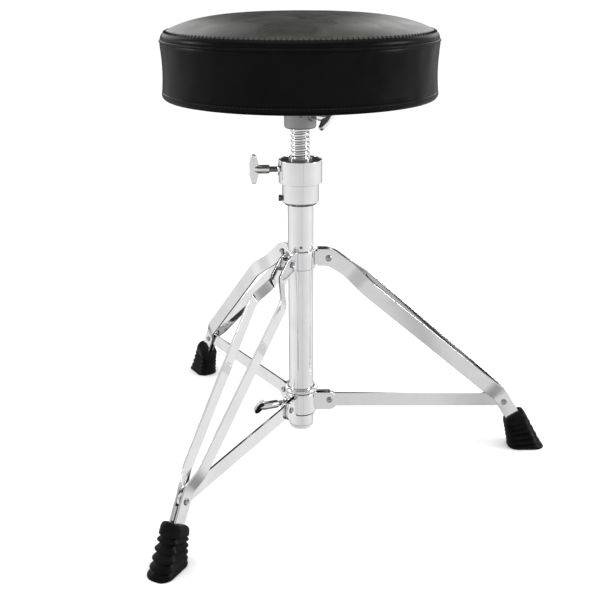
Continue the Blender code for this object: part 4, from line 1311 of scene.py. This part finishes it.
@dataclass
class SlidingCollar:
    """The collar that slides on the tube, with a pair of ears for each brace."""

    radius: float = 0.0185
    bead_radius: float = 0.0205
    bead_bottom: float = 0.0822
    tube_radius: float = 0.0150
    ear_corner: float = 0.0088
    ear_start: float = 0.0162
    ear_end: float = 0.0440
    ear_low: float = 0.0575
    ear_high: float = 0.0802
    ear_outer: float = 0.0052
    ear_inner: float = 0.0019
    boss_azimuth: float = 200.0
    boss_height: float = 0.0690
    boss_radius: float = 0.0062
    bolt_way: float = 0.0038
    pivot: Vector = field(default_factory=lambda: Vector((0.0350, 0.0, 0.0702)))
    far: Vector = field(default_factory=lambda: Vector((0.2555, 0.0, 0.0655)))
    near_height: float = 0.0692
    brace_half: float = 0.0015
    brace_half_width: float = 0.0087
    # height of the black ring under the barrel that paints the shade of the gap round the tube
    liner: float = 0.0017

    def build(self) -> None:
        """Makes the collar, the braces and their rivets."""
        self.collar()
        bar = self.brace()
        pin = rivet("rivet_master", self.ear_outer)
        for leg in Leg:
            bar.copy(f"brace_bar_{leg.label}", leg.matrix()).dress(CHROME, [f"brace_{leg.label}"])
            place = leg.matrix() @ Matrix.Translation(self.pivot)
            pin.copy(f"ear_rivet_{leg.label}", place).dress(RIVET, [f"collar_rivet_{leg.label}"])
        bar.drop()
        pin.drop()

    def ears(self) -> list[Shape]:
        """A pair of ears for each leg."""
        outline = lug_outline(self.ear_end, self.ear_low, self.ear_high, self.ear_corner, self.ear_start)
        spreads = ((-self.ear_outer, -self.ear_inner), (self.ear_inner, self.ear_outer))
        return [plate(f"ear_{leg.label}", outline, inner, outer, 0.0005).place(facing(leg.value))
                for leg in Leg for inner, outer in spreads]

    def collar(self) -> None:
        """Barrel, bead, boss and ears, with a thin black ring under the barrel that paints the shade of the
        gap between the collar and the tube.
        """
        low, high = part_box("sliding_collar")
        middle = (self.bead_bottom + high.z) / 2
        half = (high.z - self.bead_bottom) / 2
        bore = self.tube_radius + 0.0004
        foot = low.z + self.liner
        rows = [(bore, foot), (self.radius, foot), (self.radius, self.bead_bottom - 0.0004)]
        rows += arc((self.bead_radius - half, middle), half, -78, 90, 10)
        rows += [(bore + 0.0008, high.z), (bore, high.z - 0.0006)]
        barrel = turned("brace_collar", rows, ROUND, hollow=True).bevel(0.0004, 2, 40.0)
        place = outward(self.boss_azimuth, self.boss_height)
        boss = turned("boss", [(self.boss_radius, 0.0162), (self.boss_radius, 0.0219),
                               (self.boss_radius - 0.0006, 0.0225)], SMALL_ROUND).place(place)
        way = turned("way", [(self.bolt_way, 0.0120), (self.bolt_way, 0.0300)], SMALL_ROUND).place(place)
        barrel.combine("UNION", [*self.ears(), boss]).combine("DIFFERENCE", [way])
        barrel.place(post_place()).dress(CHROME, ["sliding_collar"])
        # painted shade: a black ring under the barrel darkens the gap between the collar and the tube
        rim, top = self.radius - 0.0007, foot - 0.0001
        liner = turned("collar_liner", [(bore, low.z), (rim - 0.0004, low.z), (rim, low.z + 0.0004),
                                        (rim, top), (bore, top)], ROUND, hollow=True)
        liner.place(post_place()).dress(BLACK_PLASTIC, ["sliding_collar"], stands=False)

    def brace(self) -> Shape:
        """One flat brace with round ends."""
        near = (self.pivot.x, self.near_height)
        far = (self.far.x, self.far.z)
        outline = arc(far, self.brace_half_width, -90, 90, 16) + arc(near, self.brace_half_width, 90, 270, 16)
        return plate("brace_master", outline, -self.brace_half, self.brace_half, 0.0004)


# Wing bolts


@dataclass
class WingBolt:
    """A wing bolt along X: threaded shank, round boss and a two-armed wing."""

    node: str
    azimuth: float
    height: float
    tip: float
    shank: float
    wing: float
    tilt: float
    root: float = 0.0028
    crest: float = 0.0034
    pitch: float = 0.0012
    boss: float = 0.0050
    half_span: float = 0.0172
    half_thickness: float = 0.0024
    middle: float = 0.0053
    shoulder: float = 0.0062
    end: float = 0.0034

    def build(self) -> None:
        """Makes the bolt and sets it in its hole."""
        turns = int((self.shank - self.tip) / self.pitch) + 1
        bolt = thread(self.node + "_threaded", self.root, self.crest, self.pitch, turns, self.tip, 20)
        boss = turned(self.node + "_wing", [
            (self.boss - 0.0012, self.shank), (self.boss - 0.0003, self.shank + 0.0004),
            (self.boss, self.shank + 0.0012), (self.boss, self.wing - 0.0050),
            (self.boss - 0.0006, self.wing - 0.0038), (self.boss - 0.0016, self.wing - 0.0012),
            (self.boss - 0.0026, self.wing),
        ], SMALL_ROUND)
        boss.place(Turn.OUTWARD.matrix()).combine("UNION", [self.arms()])
        spot = post_place() @ facing(self.azimuth) @ raised(self.height)
        boss.place(spot).dress(CHROME, [self.node])
        bolt.place(spot @ Turn.OUTWARD.matrix()).dress(BOLT_THREAD, [self.node], stands=False)

    def arms(self) -> Shape:
        """The wing: two arms with round ends, narrower away from the middle."""
        tips = self.half_span - self.end
        up = arc((self.wing, tips), self.end, 0, 180, 10)
        down = arc((self.wing, -tips), self.end, 180, 360, 10)
        near, far = self.wing - self.middle, self.wing + self.middle
        outline = up + [(near, self.shoulder), (near - 0.0002, 0.0), (near, -self.shoulder)] + down
        outline += [(far, -self.shoulder), (far - 0.0006, 0.0), (far, self.shoulder)]
        wing = plate("wing", outline, -self.half_thickness, self.half_thickness, 0.0011)
        return wing.place(Matrix.Rotation(math.radians(self.tilt), 4, "X"))


# Legs


@dataclass
class LegBars:
    """The two bent flat bars of each leg and the rivet halves at their foot."""

    width: float = 0.0182
    hub_width: float = 0.0206
    thickness: float = 0.0024
    corner: float = 0.0006
    bend: float = 0.022
    path: tuple[Point, ...] = ((0.0199, 0.2572), (0.0345, 0.2572), (0.0549, 0.2427), (0.2485, 0.0746),
                               (0.2735, 0.0352))
    gaps: tuple[Point, ...] = ((0.0, 0.0042), (0.0570, 0.0042), (0.0765, 0.0184), (0.2350, 0.0085),
                               (0.2490, 0.0020), (1.0, 0.0020))
    softening: float = 0.0040
    station: float = 0.0040
    taper: Point = (0.034, 0.050)
    foot_pivot: Vector = field(default_factory=lambda: Vector((0.2555, 0.0, 0.0635)))

    def build(self) -> None:
        """Makes one bar of each hand and copies them to the three legs."""
        for side, sign in (("left", 1), ("right", -1)):
            bar = self.bar(sign)
            half = rivet("half_master", self.gaps[-1][1] + self.thickness, self.gaps[-1][1])
            half.place(Matrix.Rotation(0.0 if sign > 0 else math.pi, 4, "X"))
            for leg in Leg:
                label = f"{leg.label}_{side}"
                bar.copy(f"leg_flat_{label}", leg.matrix()).dress(CHROME, [f"leg_{leg.label}_bar_{side}"])
                place = leg.matrix() @ Matrix.Translation(self.foot_pivot)
                half.copy(f"foot_pin_{label}", place).dress(RIVET, [f"foot_rivet_{label}"])
            bar.drop()
            half.drop()

    def gap(self, radius: float) -> float:
        """How far a bar's inner face stands from the leg's middle, with its bends rounded off."""
        total = 0.0
        offsets = (-1.0, -0.6, -0.2, 0.2, 0.6, 1.0)
        for offset in offsets:
            here = max(0.0, radius + offset * self.softening)
            for (start, low), (end, high) in zip(self.gaps, self.gaps[1:]):
                if here <= end:
                    total += low + (high - low) * (here - start) / (end - start)
                    break
        return total / len(offsets)

    def stations(self) -> list[Vector]:
        """Points along the bar's centre line with round bends, close together."""
        line = [Vector(self.path[0])]
        for before, corner, after in zip(self.path, self.path[1:], self.path[2:]):
            middle = Vector(corner)
            back = (Vector(before) - middle).normalized()
            ahead = (Vector(after) - middle).normalized()
            half = back.angle(ahead) / 2
            reach = self.bend / math.tan(half)
            centre = middle + (back + ahead).normalized() * self.bend / math.sin(half)
            start, end = middle + back * reach - centre, middle + ahead * reach - centre
            line += [centre + start.lerp(end, i / 6).normalized() * self.bend for i in range(7)]
        line.append(Vector(self.path[-1]))
        fine = [line[0]]
        for here, there in zip(line, line[1:]):
            pieces = max(1, round((there - here).length / self.station))
            fine += [here.lerp(there, i / pieces) for i in range(1, pieces + 1)]
        return fine

    def bar(self, sign: int) -> Shape:
        """One bar: its section is pushed along the stations, turning and shifting at each.

        Args:
            sign: 1 for the left bar of a leg and -1 for the right one.

        Returns:
            The shape, on the leg that points along X.
        """
        stations = self.stations()
        section = rounded_box((self.thickness / 2, self.hub_width / 2), self.corner, 3)
        shape = Shape("bar_master").draw([Vector((0.0, y, z)) for y, z in section], True)
        bpy.ops.mesh.edge_face_add()
        here = Vector((0.0, 0.0, 0.0))
        slope, width = 0.0, self.hub_width
        for number, point in enumerate(stations):
            ahead = stations[min(number + 1, len(stations) - 1)] - stations[max(number - 1, 0)]
            target = Vector((point.x, sign * (self.gap(point.x) + self.thickness / 2), point.y))
            share = min(max((point.x - self.taper[0]) / (self.taper[1] - self.taper[0]), 0.0), 1.0)
            wanted = self.hub_width + (self.width - self.hub_width) * share
            angle = math.atan2(ahead.y, ahead.x)
            if number == 0:
                bpy.ops.transform.translate(value=target - here)
            else:
                bpy.ops.mesh.extrude_region_move(TRANSFORM_OT_translate={"value": target - here})
            spin("Y", slope, target)
            if abs(wanted - width) > WELD:
                bpy.ops.transform.resize(value=(1.0, 1.0, wanted / width), center_override=target)
            spin("Y", -angle, target)
            here, slope, width = target, angle, wanted
        return shape.close().bevel(0.0003, 2, 60.0)


def spin(axis: str, angle: float, centre: Vector) -> None:
    """Turns what is selected in edit mode, counter-clockwise about an axis through a centre."""
    bpy.ops.transform.rotate(value=-angle, orient_axis=axis, orient_type="GLOBAL", center_override=centre)


@dataclass
class RubberFoot:
    """A leaning rubber foot with stacked ribs under a smooth cap."""

    sole_centre: float = 0.2880
    sole_half: Point = (0.0232, 0.0154)
    sole_corner: float = 0.0125
    cap_centre: Point = (0.2694, 0.0447)
    cap_half: Point = (0.0138, 0.0122)
    cap_tilt: float = -32.0
    ribs: int = 5
    pitch: float = 0.0073
    flare: float = 0.0046

    def rows(self) -> list[Point]:
        """Sections as (height share, how far they are drawn in)."""
        span = self.cap_centre[1]
        rows = [(0.0, 0.0016), (0.006, 0.0007), (0.022, 0.0), (0.05, 0.0)]
        for rib in range(1, self.ribs):
            rows += [((rib * self.pitch + rise) / span, self.flare * drawn) for rise, drawn in GROOVE]
        neck = self.ribs * self.pitch
        rows += [((neck - 0.0026) / span, self.flare * 0.6), ((neck - 0.0016) / span, self.flare * 0.9)]
        rows += [(0.765, 0.0006), (0.79, 0.0), (0.92, 0.0), (0.965, 0.0006), (0.99, 0.0018), (1.0, 0.0034)]
        return rows

    def build(self) -> None:
        """Makes one foot and copies it to the three legs."""
        outline = rounded_box(self.sole_half, self.sole_corner, 8)
        foot = Shape("foot_master").draw([Vector((x, y, 0.0)) for x, y in outline], True)
        bpy.ops.mesh.edge_face_add()
        here, slope, size = Vector((0.0, 0.0, 0.0)), 0.0, Vector(self.sole_half)
        cap = Vector((self.cap_centre[0], 0.0, self.cap_centre[1]))
        for number, (share, drawn) in enumerate(self.rows()):
            mix = share ** 0.8
            target = Vector((self.sole_centre, 0.0, 0.0)).lerp(cap, share)
            wanted = Vector(self.sole_half).lerp(Vector(self.cap_half), mix) - Vector((drawn * 0.5, drawn))
            angle = math.radians(self.cap_tilt) * share ** 1.5
            if number == 0:
                bpy.ops.transform.translate(value=target - here)
            else:
                bpy.ops.mesh.extrude_region_move(TRANSFORM_OT_translate={"value": target - here})
            spin("Y", -slope, target)
            ratio = (wanted.x / size.x, wanted.y / size.y, 1.0)
            bpy.ops.transform.resize(value=ratio, center_override=target)
            spin("Y", angle, target)
            here, slope, size = target, angle, wanted
        foot.close()
        for leg in Leg:
            one = foot.copy(f"ribbed_foot_{leg.label}", leg.matrix())
            one.dress(RUBBER, [f"rubber_foot_{leg.label}"], 50.0)
        foot.drop()


def repaint(node: str, finish: Finish) -> None:
    """Gives a kept node of the frame its finish.

    Args:
        node: The node's name in the frame.
        finish: What it is made of.
    """
    piece = frame["nodes"][node]
    piece.data.materials.clear()
    piece.data.materials.append(finish.material())
    LOG.info("%s is repainted", node)


# Studio


@dataclass
class SoftBox:
    """A round soft light that looks at the middle of the stand."""

    name: str
    spot: tuple[float, float, float]
    size: float
    power: float
    target: tuple[float, float, float] = (-0.07, 0.0, 0.40)

    def build(self) -> None:
        """Hangs the light and aims it."""
        light = bpy.data.lights.new(self.name, "AREA")
        light.shape = "DISK"
        light.size = self.size
        light.energy = self.power
        lamp = bpy.data.objects.new(self.name, light)
        lamp.location = self.spot
        aim = Vector(self.target) - Vector(self.spot)
        lamp.rotation_euler = aim.to_track_quat("-Z", "Y").to_euler()
        bpy.context.scene.collection.objects.link(lamp)


@dataclass
class Studio:
    """Floor, soft light and camera.

    The sky's stops run from 0 to 1: ring and strips from behind the post round its left, front and right,
    and level and skyline from straight down to straight up.
    """

    focal: float = 55.01
    shift: float = -0.00152
    distance: float = 1.04155
    height: float = 0.57771
    pitch: float = 0.3465
    heading: float = -0.0251
    roll: float = -0.0037
    floor_size: float = 60.0
    backdrop: float = 1.12
    glow: float = 2.0
    ring: Stops = ((0.0, 0.05), (0.050, 0.05), (0.085, 0.55), (0.16, 0.92), (0.25, 1.0), (0.40, 0.84),
                   (0.5, 0.76), (0.534, 0.78), (0.536, 0.56), (0.540, 0.56), (0.542, 0.79), (0.62, 0.86),
                   (0.75, 1.0), (0.84, 0.95), (0.915, 0.70), (0.950, 0.05))
    level: Stops = ((0.0, 0.14), (0.10, 0.18), (0.24, 0.95), (0.36, 1.0), (0.56, 0.95), (0.70, 0.50),
                    (1.0, 0.9))
    strips: Stops = ((0.0, 0.0), (0.017, 0.0), (0.032, 1.0), (0.120, 1.0), (0.150, 0.0), (0.850, 0.0),
                     (0.880, 1.0), (0.968, 1.0), (0.983, 0.0))
    skyline: Stops = ((0.0, 0.0), (0.54, 0.0), (0.57, 1.0), (0.77, 1.0), (0.82, 0.0))
    boxes: tuple[SoftBox, ...] = (
        SoftBox("right_box", (1.30, -0.25, 0.85), 0.55, 9.0),
        SoftBox("left_box", (-1.45, 0.15, 0.80), 0.45, 5.0),
        SoftBox("top_box", (-0.10, -0.10, 2.20), 1.6, 8.0),
    )

    def build(self) -> None:
        """Sets up the whole studio."""
        self.floor()
        self.sky()
        for box in self.boxes:
            box.build()
        self.camera()
        view = bpy.context.scene.view_settings
        view.view_transform = "Standard"
        view.look = "None"

    def floor(self) -> None:
        """A plain pale floor."""
        Shape.settle()
        bpy.ops.mesh.primitive_plane_add(size=self.floor_size, location=(0.0, 0.0, -0.0002))
        plane = bpy.context.object
        bpy.ops.object.transform_apply(location=True, rotation=True, scale=True)
        plane.name = "studio_floor"
        plane.data.materials.append(FLOOR.material())
        plane.visible_glossy = False

    def sky(self) -> None:
        """White to the camera; to bright surfaces, a studio with dark gaps and two glowing strips behind."""
        world = bpy.data.worlds.new("studio")
        bpy.context.scene.world = world
        world.use_nodes = True
        recipe = Recipe(world.node_tree)
        way = recipe.node("ShaderNodeTexCoord", {}, {}, "Generated")
        parts = world.node_tree.nodes.new("ShaderNodeSeparateXYZ")
        recipe.feed(parts.inputs[0], way)
        x, y, z = (Value(recipe, parts.outputs[i]) for i in range(3))
        azimuth = recipe.node("ShaderNodeMath", {"operation": "ARCTAN2"}, {0: x, 1: 0.0 - y})
        around = azimuth * (0.5 / math.pi) + 0.5
        upward = z * 0.5 + 0.5
        lit = recipe.ramp(around, self.ring) * recipe.ramp(upward, self.level)
        glow = recipe.ramp(around, self.strips) * recipe.ramp(upward, self.skyline) * self.glow
        pattern = recipe.node("ShaderNodeMath", {"operation": "MAXIMUM"}, {0: lit, 1: glow})
        ray = world.node_tree.nodes.new("ShaderNodeLightPath")
        glossy = Value(recipe, ray.outputs["Is Glossy Ray"])
        strength = glossy * pattern + (1.0 - glossy) * self.backdrop
        back = world.node_tree.nodes["Background"]
        back.inputs["Color"].default_value = (1.0, 1.0, 1.0, 1.0)
        recipe.feed(back.inputs["Strength"], strength)

    def camera(self) -> None:
        """The camera, a little above the seat and in front of the post."""
        data = bpy.data.cameras.new("camera")
        data.lens = self.focal
        data.sensor_width = 36.0
        data.shift_x = self.shift
        data.clip_end = 200.0
        eye = bpy.data.objects.new("camera", data)
        eye.matrix_world = (
            post_place()
            @ Matrix.Rotation(self.heading, 4, "Z")
            @ Matrix.Translation((0.0, -self.distance, self.height))
            @ Matrix.Rotation(math.pi / 2 - self.pitch, 4, "X")
            @ Matrix.Rotation(self.roll, 4, "Z")
        )
        bpy.context.scene.collection.objects.link(eye)
        bpy.context.scene.camera = eye


def main() -> None:
    """Builds every sub-assembly in order, then the studio."""
    logging.basicConfig(level=logging.INFO, format="%(name)s: %(message)s")
    bolts = (
        WingBolt("height_wing_bolt", azimuth=180.0, height=0.3618, tip=0.0114, shank=0.0354, wing=0.0535,
                 tilt=0.0),
        WingBolt("seat_wing_bolt", azimuth=-46.0, height=0.4245, tip=0.0114, shank=0.0290, wing=0.0430,
                 tilt=-48.0),
        WingBolt("collar_wing_bolt", azimuth=200.0, height=0.0690, tip=0.0154, shank=0.0310, wing=0.0555,
                 tilt=-42.0),
    )
    assemblies = (Seat(), Receiver(), Spindle(), Post(), SlidingCollar(), *bolts, LegBars(), RubberFoot(),
                  Studio())
    for assembly in assemblies:
        assembly.build()


if __name__ == "__main__":
    main()
